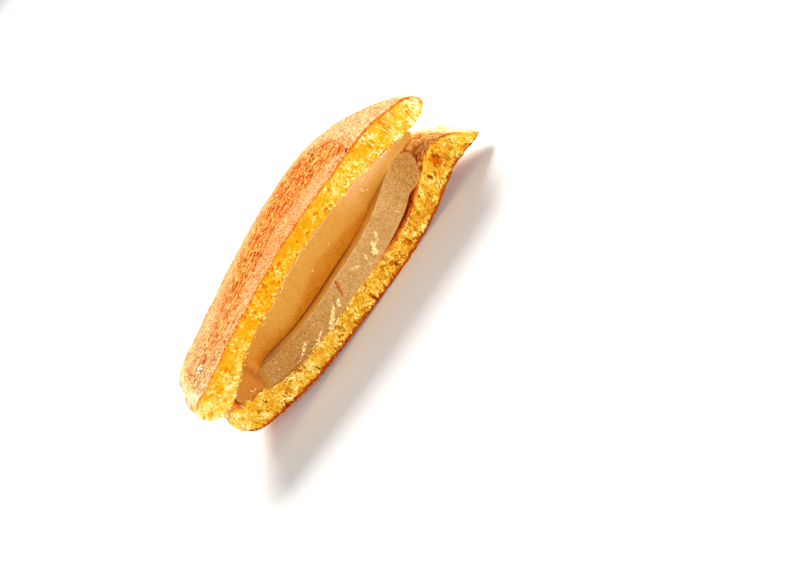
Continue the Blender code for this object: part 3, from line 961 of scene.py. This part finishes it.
def top_pale_ends(values):
    """Where the crumb on the cut is pale: towards both ends, and low down at the left."""
    x = values["x"]
    ends = rise(0.70, 1.0, values["fraction"] + 0.05 * cloud(x, values["z"], 3.0, 72, 2))
    ends = np.maximum(ends, 0.5 * rise(6.0, 20.0, x))
    ends = ends * (1.0 - 0.15 * rise(-26.0, -32.0, x) + 0.25 * rise(30.0, 36.0, x))
    low_left = 1.1 * rise(-26.0, -37.0, x) * rise(2.5, 5.5, values["below"])
    return np.maximum(ends, low_left)


def top_warm_crumb(values, under_crust, flecks, line):
    """Where the crumb on the cut is orange: under the crust, in a few strands, and at its edge."""
    x = values["x"]
    upright = cloud(x, values["below"] / 4.0, 1.0, 74, 2)
    strands = rise(0.1, 0.8, upright) * rise(20.0, 27.0, x)
    warm = np.clip(0.6 * under_crust + 0.7 * strands + line, 0.0, 1.0)
    return warm * (1.0 - flecks * (1.0 - line))


class DORAYAKI_OT_top_pancake(Operator):
    """Bakes the top pancake"""

    bl_idname = "dorayaki.top_pancake"
    bl_label = "Top pancake"

    def execute(self, context):
        scene = context.scene
        top = scene.dorayaki_top
        crust = scene.dorayaki_crust

        def relief(x, y, fraction, angle):
            wrinkled = crust.relief / MM * (0.25 + 0.75 * wrinkled_band(x, y)[0])
            torn = (0.20 * cloud(x, y, 1.6, 31, 3) - 0.3 * bump(-36.0, 3.0, x)) * rise(4.0, 0.0, y)
            return torn, crust_height(x, y, wrinkled, 40)

        def face(x, low, high, down):
            below = (high - low) * down
            opened, flecks = top_crumb(x, below)
            opened = opened * rise(0.0, 0.7, below)
            return torn_depth(x, below, flecks, 0.07, 66) + top.pore_depth / MM * opened, opened

        body = HalfRound(
            top.centre / MM, top.radius / MM, partial(top_pancake_surfaces, scene),
            lambda angle: top.rounding, outline_swell(TOP_OUTLINE_WAVES, 50), face)
        values, triangles = body.closed(
            relief, (rows_to_rim(46, 1.1), 250), (rows_from_rim(126, 1.0), 330), rows_down(42), 640)
        material = pancake_material("dorayaki_top_pancake", top, crust)
        piece = make_piece("top_pancake_baked", values, triangles, self.bake(values), material)
        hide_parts("top_pancake")
        return {"FINISHED"}

    @staticmethod
    def bake(values):
        """Where the crust is, how brown it is, and where the crumb is open, pale or warm."""
        x, y, fraction = values["x"], values["y"], values["fraction"]
        cut = values["cut"] > 0.5
        blotch = cloud(x, y, 6.0, 70, 3)
        band, front_line = wrinkled_band(x, y)
        inside_brown = 0.45 + 0.1 * blotch
        on_top = values["side"] == UPPER_SIDE
        brown = np.where(on_top, top_browning(values, blotch, band, front_line), inside_brown)
        line, thicker = top_edge_line(values)
        left_rim = 0.03 * rise(-20.0, -36.0, x)
        fade = 1.0 - rise(0.93, 0.97, fraction + left_rim + 0.018 * cloud(x, y, 3.0, 73, 3))
        opened, flecks = top_crumb(*crumb_places(values))
        flecks = flecks * (1.0 - cut * (0.5 * bump(-2.0, 16.0, x) + 0.3 * rise(-24.0, -32.0, x)))
        under_crust = np.exp(-values["below"] / 0.9) * rise(0.97, 0.9, fraction)
        pale = flecks * (0.8 - 0.4 * under_crust) + np.where(cut, 0.5 * top_pale_ends(values), 0.96)
        warm_crust = 0.55 * bump(0.0, 22.0, x) * (1.0 - band) * fade + band + 0.14 * (1.0 - fade)
        return {
            "crust": np.where(cut, line, fade),
            "brown": np.where(cut, 0.42 + 0.5 * thicker, brown),
            "pore": opened * (1.0 - 0.25 * cut * rise(-20.0, -30.0, x)),
            "pale": np.clip(pale, 0.0, np.where(cut, CUT_PALEST, RIM_PALEST)),
            "matt": np.maximum(band, 0.6 - 0.6 * bump(5.0, 22.0, x) * rise(13.0, 8.0, y)),
            "glow": np.where(cut, 0.4 * line, 0.0),
            "warm": np.where(cut, top_warm_crumb(values, under_crust, flecks, line), warm_crust),
        }


def base_inside_browning(values, blotch):
    """How brown the lower pancake's inside is past the paste, darkest next to the slab at the right, with
    raised folds painted paler as highlight and sunken ones browner as shade.
    """
    x, y = values["x"], values["y"]
    # Painted highlight and shade: raised folds are painted paler and sunken ones browner.
    brown = 0.44 + 0.12 * blotch - 2.2 * values["raised"] - 0.12 * rise(31.0, 38.0, x)
    return brown + 0.34 * rise(35.5, 31.0, np.hypot(x - 1.4, y)) * rise(20.0, 26.0, x)


def base_edge_lines(values, inner_edge):
    """The crust's edges on the cut, the inner one towards both ends only, and the outer one alone."""
    x, fraction = values["x"], values["fraction"]
    fringe = values["above"] + 0.32 * cloud(x, values["z"], 0.7, 171, 2)
    thicker = 0.25 * rise(-5.0, -20.0, x) * rise(-40.0, -36.0, x) - 0.3 * rise(36.0, 42.0, x)
    outer = 1.0 - rise(0.38, 0.98, fringe - thicker)
    at_ends = rise(8.0, 16.0, x) + rise(-17.0, -24.0, x)
    inner = 0.85 * (1.0 - rise(0.35, 0.85, inner_edge)) * at_ends
    outer_part = outer * (1.0 - rise(0.97, 0.99, fraction))
    inner_part = inner * (1.0 - rise(0.88, 0.94, fraction))
    return np.maximum(outer_part, inner_part), outer


def base_red_and_painted_glow(values, inner_edge, outer_line):
    """Redder crumb: painted glow in the shaded slit, at its edge on the cut and in the shaded left hollow;
    the crumb's own red in deep pores and along the crust's edge.
    """
    x, y = values["x"], values["y"]
    # Painted glow in the shaded slit under the slab and in the shaded hollow at the left end.
    in_slit = 0.85 * rise(2.0, 8.0, x) * rise(30.0, 27.5, x) * rise(5.0, 3.0, y)
    left_hollow = 0.5 * bump(-38.0, 1.8, x) * rise(6.0, 3.0, y)
    slit_edge = in_slit * rise(0.9, 0.4, inner_edge)
    deep_pores = 0.25 * rise(0.80, 1.12, values["pore"])
    on_cut = np.maximum(0.6 * slit_edge + 0.08 * outer_line, deep_pores)
    inside = values["side"] == UPPER_SIDE
    return np.where(inside, np.maximum(in_slit, left_hollow), values["cut"] * on_cut)


class DORAYAKI_OT_bottom_pancake(Operator):
    """Bakes the lower pancake"""

    bl_idname = "dorayaki.bottom_pancake"
    bl_label = "Lower pancake"

    def execute(self, context):
        scene = context.scene
        base = scene.dorayaki_base
        crust = scene.dorayaki_crust

        def relief(x, y, fraction, angle):
            torn = (0.05 + 0.24 * cloud(x, y, 1.4, 131, 3)) * rise(3.0, 0.0, y)
            folds = 1.0 - 2.0 * np.abs(
                cloud(fraction * PANCAKE_RADIUS, np.degrees(angle) * 0.22, 0.65, 142, 2))
            inner = 0.03 * cloud(x, y, 0.8, 140, 2) + 0.22 * folds * rise(0.7, 0.85, fraction)
            ragged = 0.10 * cloud(x, y, 0.6, 143, 2) * rise(1.0, 0.0, y)
            return crust_height(x, y, 0.4 * crust.relief / MM, 141) + ragged, inner + torn

        def face(x, low, high, down):
            below = (high - low) * down
            opened, flecks = base_crumb(x, below)
            opened = opened * (1.0 - 0.6 * rise(-38.5, -42.0, x))
            single = single_pores(x, high - below, LARGE_PORES)
            depth = torn_depth(x, below, flecks, 0.08, 166) + base.pore_depth / MM * opened + 1.1 * single
            return depth, np.maximum(opened, 1.2 * single)

        body = HalfRound(
            base.centre / MM, base.radius / MM, partial(base_pancake_surfaces, scene),
            lambda angle: base.rounding, outline_swell(BASE_OUTLINE_WAVES, 150), face, floor=0.0)
        values, triangles = body.closed(
            relief, (rows_to_rim(76, 1.1), 290), (rows_from_rim(84, 1.1), 310), rows_down(46), 640)
        material = pancake_material("dorayaki_bottom_pancake", base, crust)
        piece = make_piece("bottom_pancake_baked", values, triangles, self.bake(values), material)
        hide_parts("bottom_pancake")
        return {"FINISHED"}

    @staticmethod
    def bake(values):
        """Where the crust is, how brown it is, where the crumb is open, pale, warm or red, and where a glow
        of light is painted.
        """
        x, y, z, fraction = values["x"], values["y"], values["z"], values["fraction"]
        cut = values["cut"] > 0.5
        inside = values["side"] == UPPER_SIDE
        blotch = cloud(x, y, 4.0, 170, 3)
        left_end = rise(-32.0, -35.0, x) * rise(14.0, 7.0, y)
        outer_fade = 1.0 - rise(0.93, 0.98, fraction + 0.015 * blotch)
        inner_fade = (1.0 - rise(0.84, 0.93, fraction + 0.03 * blotch)) * (1.0 - left_end)
        under_side = values["side"] == LOWER_SIDE
        brown = np.where(
            under_side, (0.74 + 0.08 * blotch) * outer_fade, base_inside_browning(values, blotch))
        inner_edge = values["below"] + 0.2 * cloud(x, z, 0.9, 173, 2)
        line, outer_line = base_edge_lines(values, inner_edge)
        opened, flecks = base_crumb(*crumb_places(values), cut)
        over_crust = 0.35 * np.exp(-values["above"] / 0.9) * rise(0.97, 0.9, fraction)
        end = rise(0.80, 0.98, fraction + 0.04 * cloud(x, z, 3.0, 172, 2))
        pale = 0.8 * flecks + np.where(cut, 0.26 * end + 0.18 * bump(-21.0, 8.0, x), 1.0)
        strands = rise(24.0, 30.0, x) * rise(14.0, 9.0, y) * rise(0.96, 0.90, fraction)
        # Painted glow of light through the crumb on the shaded inside of the left end.
        painted_glow_left = 0.9 * left_end * rise(0.98, 0.94, fraction)
        warm_right = 0.8 * rise(24.0, 31.0, x) * rise(0.93, 0.86, fraction)
        warm_rim = 0.14 * rise(0.93, 0.97, fraction)
        return {
            "crust": np.where(cut, line, np.where(under_side, outer_fade, inner_fade)),
            "brown": np.where(cut, 1.0, brown),
            "pore": np.where(cut, values["pore"] + over_crust, opened),
            "pale": np.clip(pale, 0.0, np.where(cut, BASE_CUT_PALEST, RIM_PALEST)),
            "matt": np.where(inside, 1.3 * strands, 0.0),
            "warm": np.where(inside, painted_glow_left + warm_right, 0.0) + np.where(cut, 0.0, warm_rim),
            "glow": base_red_and_painted_glow(values, inner_edge, outer_line),
        }


def shelf_depth(scene, x):
    """How far the upper paste is set back at the seam, in millimetres."""
    grown = rise(SHELF_LEFT_END[0], SHELF_LEFT_END[1], x)
    return scene.dorayaki_paste.shelf / MM * grown * rise(SHELF_RIGHT_END[0], SHELF_RIGHT_END[1], x)


class DORAYAKI_OT_paste(Operator):
    """Spreads the two layers of bean paste"""

    bl_idname = "dorayaki.paste"
    bl_label = "Bean paste"

    def execute(self, context):
        self.lay_upper(context.scene)
        self.lay_slab(context.scene)
        return {"FINISHED"}

    def lay_upper(self, scene):
        """The upper layer, set back at the seam and wrapped round the slab's left end."""
        paste = scene.dorayaki_paste

        def relief(x, y, fraction, angle):
            smear = 0.25 + 0.32 * cloud(x, y, 2.2, 205, 3)
            return 0.0 * x, smear * rise(1.2, 0.0, y) * rise(-33.0, -29.0, x)

        def face(x, low, high, down):
            z = high + (low - high) * down
            lumps = 0.09 * (1.0 + cloud(x, z, 3.2, 210, 2)) + 0.02 * cloud(x, z, 0.5, 211, 2)
            seam = 0.30 * bump(SEAM_RIGHT, 0.22, z) * rise(29.5, 31.5, x) * rise(36.5, 34.0, x)
            return 0.04 + lumps + seam + shelf_depth(scene, x) * down ** 1.5, down

        def rounding(angle):
            return UPPER_ROUNDING * (0.3 + 0.7 * rise(160.0, 110.0, np.degrees(angle)))

        body = HalfRound(
            paste.upper_centre / MM, paste.upper_radius / MM, partial(upper_paste_surfaces, scene), rounding,
            outline_swell(PASTE_OUTLINE_WAVES), face)
        values, triangles = body.closed(
            relief, (rows_to_rim(40, 1.1), 240), (rows_from_rim(40, 1.1), 240), rows_down(50), 460)
        material = paste_material(
            "dorayaki_upper_paste", paste.upper, paste.upper_deep, paste.blush, paste, 0.45, 1.0)
        piece = make_piece("upper_paste_layer", values, triangles, self.upper_tones(values), material)
        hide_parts("filling_upper")

    @staticmethod
    def upper_tones(values):
        """Painted shade darkens the upper layer towards its recessed seam, with a painted dark crease along
        it; it is pinker along its top and at the right.
        """
        x, down = values["x"], values["down"]
        on_cut = values["cut"] > 0.5
        # Painted shade: the face darkens as it recedes into the shelf, most in a lens low in the middle; seam
        # and past_slab paint a dark crease along the seam and past the slab's end.
        shade = 0.45 * rise(0.35, 0.9, down) * rise(-33.0, -24.0, x) * rise(34.0, 4.0, x)
        seam = 1.3 * rise(0.93, 0.985, down) * rise(-31.0, -24.0, x) * rise(16.0, 2.0, x)
        seam = seam + 0.9 * rise(0.95, 0.985, down) * rise(-29.0, -31.0, x)
        seam = seam + 0.5 * bump(-30.4, 0.9, x)
        past_slab = bump(SEAM_RIGHT, 0.3, values["z"]) * rise(28.0, 31.0, x) * rise(36.5, 34.0, x)
        lens = 0.35 * rise(-0.07, 0.07, down - 1.0 + 0.5 * bump(0.0, 15.0, x))
        left = 0.6 * rise(-14.0, -32.0, x)
        right_end = 0.3 * rise(29.0, 34.0, x)
        deep = 0.2 + shade + seam + lens + left + right_end + 0.7 * past_slab
        right_side = rise(8.0, 22.0, x) * rise(31.5, 26.5, x) * rise(0.7, 0.1, down)
        top_edge = (0.3 + 0.6 * rise(-20.0, -6.0, x)) * rise(0.07, 0.0, down)
        return {
            "deep": np.where(on_cut, deep, 0.6),
            "blush": np.where(on_cut, top_edge + 0.7 * right_side, 0.0),
            "film": 0.0 * down,
        }

    def lay_slab(self, scene):
        """The lower layer, with a flat cut face and a thin lip along its upper edge."""
        paste = scene.dorayaki_paste
        lip = paste.lip / MM

        def relief(x, y, fraction, angle):
            bead = lip * bump(0.1, 0.25, y) * rise(-24.0, -16.0, x) * rise(22.0, 14.0, x)
            worn = 0.45 * rise(1.8, 0.0, y) * rise(-29.0, -24.0, x) * rise(22.0, 14.0, x)
            return 0.0 * x, bead - worn + 0.04 * cloud(x, y, 2.5, 220, 2)

        def lean(x, down):
            return -2.4 * down * rise(-22.0, -30.0, x)

        def rounding(angle):
            share_left = (1.0 - np.cos(angle)) / 2.0
            return SLAB_ROUNDING_RIGHT + (SLAB_ROUNDING_LEFT - SLAB_ROUNDING_RIGHT) * share_left

        def face(x, low, high, down):
            z = high + (low - high) * down
            grain = 0.03 * (1.0 + cloud(x, z * 0.5, 0.6, 221, 3)) + 0.05 * (1.0 + cloud(x, z, 5.0, 222, 1))
            tucked = 0.8 * rise(-28.6, -30.0, x) ** 2
            return grain + 0.10 + tucked, down

        body = HalfRound(
            paste.slab_centre / MM, paste.slab_radius / MM, partial(slab_surfaces, scene), rounding,
            outline_swell(()), face, lean=lean)
        near_lip = 1.0 - rows_to_rim(60, 2.0)[1:]
        values, triangles = body.closed(
            relief, (rows_to_rim(30, 1.5), 200), (near_lip, 300), rows_down(46) ** 1.35, 420)
        material = paste_material(
            "dorayaki_lower_paste", paste.slab, paste.slab_deep, paste.ledge_painted_light, paste, 0.4, 0.5)
        piece = make_piece("lower_paste_slab", values, triangles, self.slab_tones(values), material)
        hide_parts("filling_lower")

    @staticmethod
    def slab_tones(values):
        """The slab is darker towards its ends and low at the left, with painted shade in the crease along its
        left edge, painted light on its upper side and a painted highlight along the lip.
        """
        x, y, down = values["x"], values["y"], values["down"]
        on_cut = values["cut"] > 0.5
        towards_ends = 0.8 * rise(-2.0, -18.0, x) + rise(18.0, 31.0, x)
        # left_edge paints shade into the crease along the slab's left end, where its face tucks back;
        # tucked_in darkens its lower edge at the left and takes that painted shade too.
        left_edge = rise(1.7, 0.3, x + 29.3 + 2.3 * down)
        tucked_in = 0.7 * rise(0.90, 0.99, down) * rise(-17.0, -23.0, x)
        tucked_in = np.maximum(tucked_in, 0.75 * left_edge)
        # Painted highlight along the lip's edge, on the cut and along the top, broken up along its length.
        highlighted = np.where(on_cut, rise(0.020, 0.0, down), rise(0.36, 0.22, y))
        highlighted = np.where(values["side"] == LOWER_SIDE, 0.0, highlighted)
        broken = 0.55 + 0.5 * cloud(x, 0.0 * x, 1.6, 223, 2)
        faint = rise(-23.0, -14.0, x) * rise(19.0, 12.0, x) * broken
        return {
            "deep": np.where(on_cut, 0.45 + 0.35 * towards_ends + tucked_in, 0.5),
            # Off the cut the slab takes the lighter ledge colour: painted light on its shaded upper side.
            "blush": np.where(on_cut, 0.3 * left_edge, 0.8 * rise(-26.0, -12.0, x)),
            "film": np.clip(highlighted * faint, 0.0, 1.0),
        }


SMEARS = (  # crumb dragged over the slab by the knife: from x, z to x, z, width, number of crumbs
    (-20.6, 8.2, -17.2, 9.7, 0.50, 26),
    (-16.6, 6.9, -13.2, 7.9, 0.45, 20),
    (-11.2, 6.2, -6.8, 8.9, 0.62, 60),
    (-6.0, 7.9, -4.8, 9.2, 0.55, 18),
    (2.6, 11.0, 4.5, 9.2, 0.32, 18),
    (7.5, 10.4, 6.4, 7.3, 0.26, 24),
    (11.0, 10.1, 8.9, 7.6, 0.66, 54),
    (13.3, 11.3, 11.5, 9.2, 0.42, 22),
    (19.7, 10.2, 20.3, 9.1, 0.16, 5),
    (18.5, 20.1, 19.9, 18.5, 0.18, 8),
    (18.3, 20.6, 19.4, 19.9, 0.14, 4),
    (20.6, 21.0, 21.8, 21.0, 0.22, 6),
    (27.6, 20.5, 30.8, 20.2, 0.34, 16),
    (-34.2, 13.8, -33.0, 12.9, 0.24, 6),
    (-26.3, 11.0, -26.1, 11.1, 0.10, 2),
    (-16.9, 9.1, -16.8, 9.2, 0.10, 2),
    (-3.1, 18.2, -3.0, 18.2, 0.16, 3),
    (4.1, 18.7, 4.2, 18.7, 0.10, 2),
    (16.2, 13.0, 16.3, 13.0, 0.08, 1),
    (-24.0, 8.2, -9.0, 5.9, 0.30, 7),
    (-8.0, 5.9, 8.0, 5.9, 0.25, 8),
)


EDGE_CRUMBS = 70  # crumbs along the top pancake's lower edge
LUMPINESS = 0.16  # swing of the waves that make a lump uneven
DRAWN_OUT = (1.3, 1.0, 0.85)  # how the knife drew a crumb out
CRUST_CRUMB_AT = (-36.3, 8.0)  # x, y on the crust
CRUST_CRUMB_LUMPS = (  # x, y from there, size
    (0.0, 0.0, 0.46), (0.55, 0.3, 0.36), (-0.6, 0.15, 0.34), (0.2, -0.5, 0.30),
    (-0.25, 0.65, 0.28), (0.85, -0.15, 0.22), (-0.9, -0.2, 0.20))
BURNT_LUMPS = ((24.0, 0.55, 0.36), (24.5, 0.75, 0.27))  # x, y on the crust, size
BEAN_SKINS = (  # from, to, half width, bow
    ((-1.8, 0.02, 12.2), (-3.3, 0.10, 8.5), 0.50, 0.12),
    ((-22.3, 0.04, 8.95), (-20.9, 0.10, 8.5), 0.17, 0.03),
)


def lumps(places, sizes, seed, squash=1.0, leans=None):
    """Corners and triangles of small irregular lumps, drawn out along their lean in the XZ plane."""
    ball = bmesh.new()
    bmesh.ops.create_icosphere(ball, subdivisions=2, radius=1.0)
    round_corners = np.array([corner.co[:] for corner in ball.verts])
    round_triangles = np.array([[corner.index for corner in face.verts] for face in ball.faces])
    ball.free()
    draw = np.random.default_rng(seed)
    corners, triangles = [], []
    for count, (place, size) in enumerate(zip(places, sizes)):
        pushes = draw.normal(0.0, 1.0, (4, 3))
        shape = 1.0 + LUMPINESS * np.sin(round_corners @ pushes.T * 2.2 + draw.uniform(0, 6, 4)).sum(axis=1)
        stretch = draw.uniform(0.65, 1.25, 3) * (1.0, squash, 1.0)
        lump = round_corners * shape[:, None] * stretch * size
        if leans is not None:
            lean = leans[count]
            lump = lump * DRAWN_OUT
            turned_x = lump[:, 0] * math.cos(lean) - lump[:, 2] * math.sin(lean)
            lump[:, 2] = lump[:, 0] * math.sin(lean) + lump[:, 2] * math.cos(lean)
            lump[:, 0] = turned_x
        corners.append(lump + place)
        triangles.append(round_triangles + count * len(round_corners))
    return np.concatenate(corners), np.concatenate(triangles)


def skin_sliver(start, end, width, bow):
    """A thin curled leaf of bean skin from one point to another, as a closed skin."""
    start, end = np.array(start), np.array(end)
    rows = 24
    along_it = np.linspace(0.0, 1.0, rows)
    across = np.cross(end - start, (0.0, 1.0, 0.0))
    across = across / np.linalg.norm(across)
    half = width * np.sin(np.pi * (0.04 + 0.94 * along_it)) ** 0.7 * (1.15 - 0.75 * along_it)
    half = half * (1.0 + 0.2 * np.sin(along_it * 21.0))
    middle = start + (end - start) * along_it[:, None] + across * (bow * np.sin(np.pi * along_it))[:, None]
    ring = []
    for side, out in ((-1.0, 0.0), (0.0, -0.16), (1.0, 0.0), (0.0, 0.10)):
        ring.append(middle + across * (side * half)[:, None] + np.array((0.0, out, 0.0)))
    corners = np.stack(ring, axis=1).reshape(-1, 3)
    triangles = []
    for row in range(rows - 1):
        for side in range(4):
            a, b = row * 4 + side, row * 4 + (side + 1) % 4
            triangles += [(a, b, b + 4), (a, b + 4, a + 4)]
    last = (rows - 1) * 4
    triangles += [(0, 2, 1), (0, 3, 2), (last, last + 1, last + 2), (last, last + 2, last + 3)]
    return corners, np.array(triangles)


def small_piece(name, corners, triangles, material):
    """An object of corners in millimetres that carries no kept values."""
    values = {"x": corners[:, 0], "y": corners[:, 1], "z": corners[:, 2]}
    return make_piece(name, values, triangles, {}, material)


def speckled_material(name, colours, size, roughness, spongy):
    """A small thing with two or three colours run together."""
    material, tree, shader = start_material(name)
    stops = zip(np.linspace(0.3, 0.7, len(colours)), colours)
    tree.links.new(ramp(tree, noise(tree, size, 3.0), stops), shader.inputs["Base Color"])
    shader.inputs["Roughness"].default_value = roughness
    shader.inputs["Specular IOR Level"].default_value = 0.3
    if spongy:
        make_spongy(shader, 0.1, 0.3)
    return material


class DORAYAKI_OT_crumbs(Operator):
    """Leaves crumbs on the cut and the crust, and slivers of bean skin in the paste"""

    bl_idname = "dorayaki.crumbs"
    bl_label = "Crumbs and skins"

    def execute(self, context):
        scene = context.scene
        loose = scene.dorayaki_crumbs
        self.smear_crumbs(scene, loose)
        self.drop_crust_crumb(scene, loose)
        self.lay_skins(loose)
        return {"FINISHED"}

    @staticmethod
    def smear_crumbs(scene, loose):
        """Crumbs drawn out the way the knife went, and more along the top pancake's lower edge."""
        draw = np.random.default_rng(300)
        places, sizes, leans = [], [], []
        for start_x, start_z, end_x, end_z, width, count in SMEARS:
            run = draw.uniform(0.0, 1.0, count)
            spread_x, spread_z = draw.normal(0.0, 0.48 * width, (2, count))
            x = start_x + (end_x - start_x) * run + spread_x
            z = start_z + (end_z - start_z) * run + spread_z
            places += list(zip(x, draw.uniform(-0.02, 0.12, count), z))
            sizes += list(0.08 + 0.32 * width * draw.uniform(0.3, 1.0, count))
            leans += list(math.atan2(end_z - start_z, end_x - start_x) + draw.normal(0.0, 0.35, count))
        count = EDGE_CRUMBS
        x = draw.uniform(-30.0, 34.0, count)
        edge = top_pancake_surfaces(scene, x, 0.0 * x)[0]
        places += list(zip(x, draw.uniform(-0.02, 0.10, count), edge + draw.normal(-0.05, 0.16, count)))
        sizes += list(draw.uniform(0.06, 0.14, count))
        leans += list(draw.normal(0.0, 0.5, count))
        material = speckled_material(
            "dorayaki_loose_crumb", (loose.crumb, loose.crumb_pale), 0.5, 0.85, spongy=True)
        piece = small_piece("knife_crumbs", *lumps(places, sizes, 301, 0.6, leans), material)

    @staticmethod
    def drop_crust_crumb(scene, loose):
        """The pale crumb that lies on the crust, and the burnt speck at its edge."""
        x, y, sizes = np.array(CRUST_CRUMB_LUMPS).T
        x = CRUST_CRUMB_AT[0] + x
        y = CRUST_CRUMB_AT[1] + 1.6 * y
        places = np.stack([x, y, top_pancake_surfaces(scene, x, y)[1] + 0.3 * sizes], axis=1)
        material = speckled_material(
            "dorayaki_crust_crumb", (loose.crumb_pale, loose.crumb_white), 0.6, 0.8, spongy=True)
        piece = small_piece("crust_crumb", *lumps(places, sizes, 302, 1.2), material)
        x, y, sizes = np.array(BURNT_LUMPS).T
        places = np.stack([x, y, top_pancake_surfaces(scene, x, y)[1] + 0.08], axis=1)
        material = speckled_material(
            "dorayaki_burnt_sugar", (loose.burnt, loose.skin), 0.4, 0.4, spongy=False)
        speck = small_piece("burnt_speck", *lumps(places, sizes, 303, 0.9), material)

    @staticmethod
    def lay_skins(loose):
        """Two slivers of bean skin that stick to the cut slab."""
        long_one, short_one = [skin_sliver(*sliver) for sliver in BEAN_SKINS]
        corners = np.concatenate([long_one[0], short_one[0]])
        triangles = np.concatenate([long_one[1], short_one[1] + len(long_one[0])])
        material = speckled_material(
            "dorayaki_bean_skin", (loose.skin, loose.skin_light), 0.5, 0.35, spongy=False)
        piece = small_piece("bean_skins", corners, triangles, material)


LAMPS = (  # name, place and width in metres
    ("key_light", (0.16, 0.52, 0.46), 0.38),
    ("fill_light", (0.30, -0.60, 0.14), 0.36),
    ("side_light", (-0.60, 0.10, 0.14), 0.30),
)
FLOOR_HALF = 1.5  # metres
SENSOR_WIDTH = 36.0  # of the camera, in millimetres
NEAREST_SEEN = 0.01  # metres from the camera


class DORAYAKI_OT_stage(Operator):
    """Sets the floor, the light and the camera"""

    bl_idname = "dorayaki.stage"
    bl_label = "Stage"

    def execute(self, context):
        stage = context.scene.dorayaki_stage
        self.lay_floor(context.scene, stage)
        self.hang_lights(context.scene, stage)
        self.place_camera(context.scene, stage)
        context.scene.view_settings.view_transform = "Standard"
        context.scene.view_settings.look = "None"
        return {"FINISHED"}

    @staticmethod
    def lay_floor(scene, stage):
        """A large plain floor."""
        mesh = bpy.data.meshes.new("floor")
        corners = [(x * FLOOR_HALF, y * FLOOR_HALF, 0.0) for x, y in ((-1, -1), (1, -1), (1, 1), (-1, 1))]
        mesh.from_pydata(corners, [], [(0, 1, 2, 3)])
        material, tree, shader = start_material("dorayaki_floor")
        shade = noise(tree, 60.0, 2.0)
        low = [0.985 * part for part in stage.floor]
        plug(ramp(tree, shade, ((0.3, low), (0.7, stage.floor))), shader.inputs["Base Color"])
        shader.inputs["Roughness"].default_value = 0.85
        shader.inputs["Specular IOR Level"].default_value = 0.2
        mesh.materials.append(material)
        floor = bpy.data.objects.new("floor", mesh)
        scene.collection.objects.link(floor)

    @staticmethod
    def hang_lights(scene, stage):
        """A large soft key from behind and above, low weak fills from front and left, a white sky."""
        for name, place, size in LAMPS:
            lamp = bpy.data.lights.new(name, "AREA")
            lamp.shape = "DISK"
            lamp.size = size
            lamp.energy = getattr(stage, name)
            hung = bpy.data.objects.new(name, lamp)
            hung.location = place
            hung.rotation_euler = Vector(place).to_track_quat("Z", "Y").to_euler()
            scene.collection.objects.link(hung)
        world = bpy.data.worlds.new("dorayaki_sky")
        world.use_nodes = True
        sky = world.node_tree.nodes["Background"]
        sky.inputs["Color"].default_value = (1.0, 1.0, 1.0, 1.0)
        sky.inputs["Strength"].default_value = stage.sky
        scene.world = world

    @staticmethod
    def place_camera(scene, stage):
        """The photograph's view: from a little above and to the left, and rolled."""
        towards = Vector((
            math.sin(stage.azimuth) * math.cos(stage.elevation),
            math.cos(stage.azimuth) * math.cos(stage.elevation),
            -math.sin(stage.elevation)))
        level = towards.cross(Vector((0.0, 0.0, 1.0))).normalized()
        upright = level.cross(towards)
        right = level * math.cos(stage.roll) - upright * math.sin(stage.roll)
        up = level * math.sin(stage.roll) + upright * math.cos(stage.roll)
        lens = bpy.data.cameras.new("camera")
        lens.sensor_width = SENSOR_WIDTH
        lens.lens = stage.lens
        lens.clip_start = NEAREST_SEEN
        camera = bpy.data.objects.new("camera", lens)
        turn = Matrix((right, up, -towards)).transposed()
        place = Vector(stage.aim) - towards * stage.distance
        camera.matrix_world = Matrix.Translation(place) @ turn.to_4x4()
        scene.collection.objects.link(camera)
        scene.camera = camera


class DORAYAKI_PT_panel(Panel):
    """Lists the steps that build the dorayaki"""

    bl_idname = "DORAYAKI_PT_panel"
    bl_label = "Half dorayaki"
    bl_space_type = "VIEW_3D"
    bl_region_type = "UI"
    bl_category = "Dorayaki"

    def draw(self, context):
        for operator in OPERATORS:
            self.layout.operator(operator.bl_idname)


SETTINGS = {
    "dorayaki_top": TopPancakeSettings,
    "dorayaki_base": BottomPancakeSettings,
    "dorayaki_paste": PasteSettings,
    "dorayaki_crust": CrustSettings,
    "dorayaki_crumbs": CrumbSettings,
    "dorayaki_stage": StageSettings,
}
OPERATORS = (
    DORAYAKI_OT_top_pancake,
    DORAYAKI_OT_bottom_pancake,
    DORAYAKI_OT_paste,
    DORAYAKI_OT_crumbs,
    DORAYAKI_OT_stage,
)


def register():
    for name, settings in SETTINGS.items():
        bpy.utils.register_class(settings)
        setattr(bpy.types.Scene, name, PointerProperty(type=settings))
    for operator in OPERATORS:
        bpy.utils.register_class(operator)
    bpy.utils.register_class(DORAYAKI_PT_panel)


def unregister():
    bpy.utils.unregister_class(DORAYAKI_PT_panel)
    for operator in reversed(OPERATORS):
        bpy.utils.unregister_class(operator)
    for name, settings in SETTINGS.items():
        delattr(bpy.types.Scene, name)
        bpy.utils.unregister_class(settings)


def main():
    """Registers the classes and builds the pieces."""
    register()
    bpy.ops.dorayaki.top_pancake()
    bpy.ops.dorayaki.bottom_pancake()
    bpy.ops.dorayaki.paste()
    bpy.ops.dorayaki.crumbs()
    bpy.ops.dorayaki.stage()


if __name__ == "__main__":
    main()
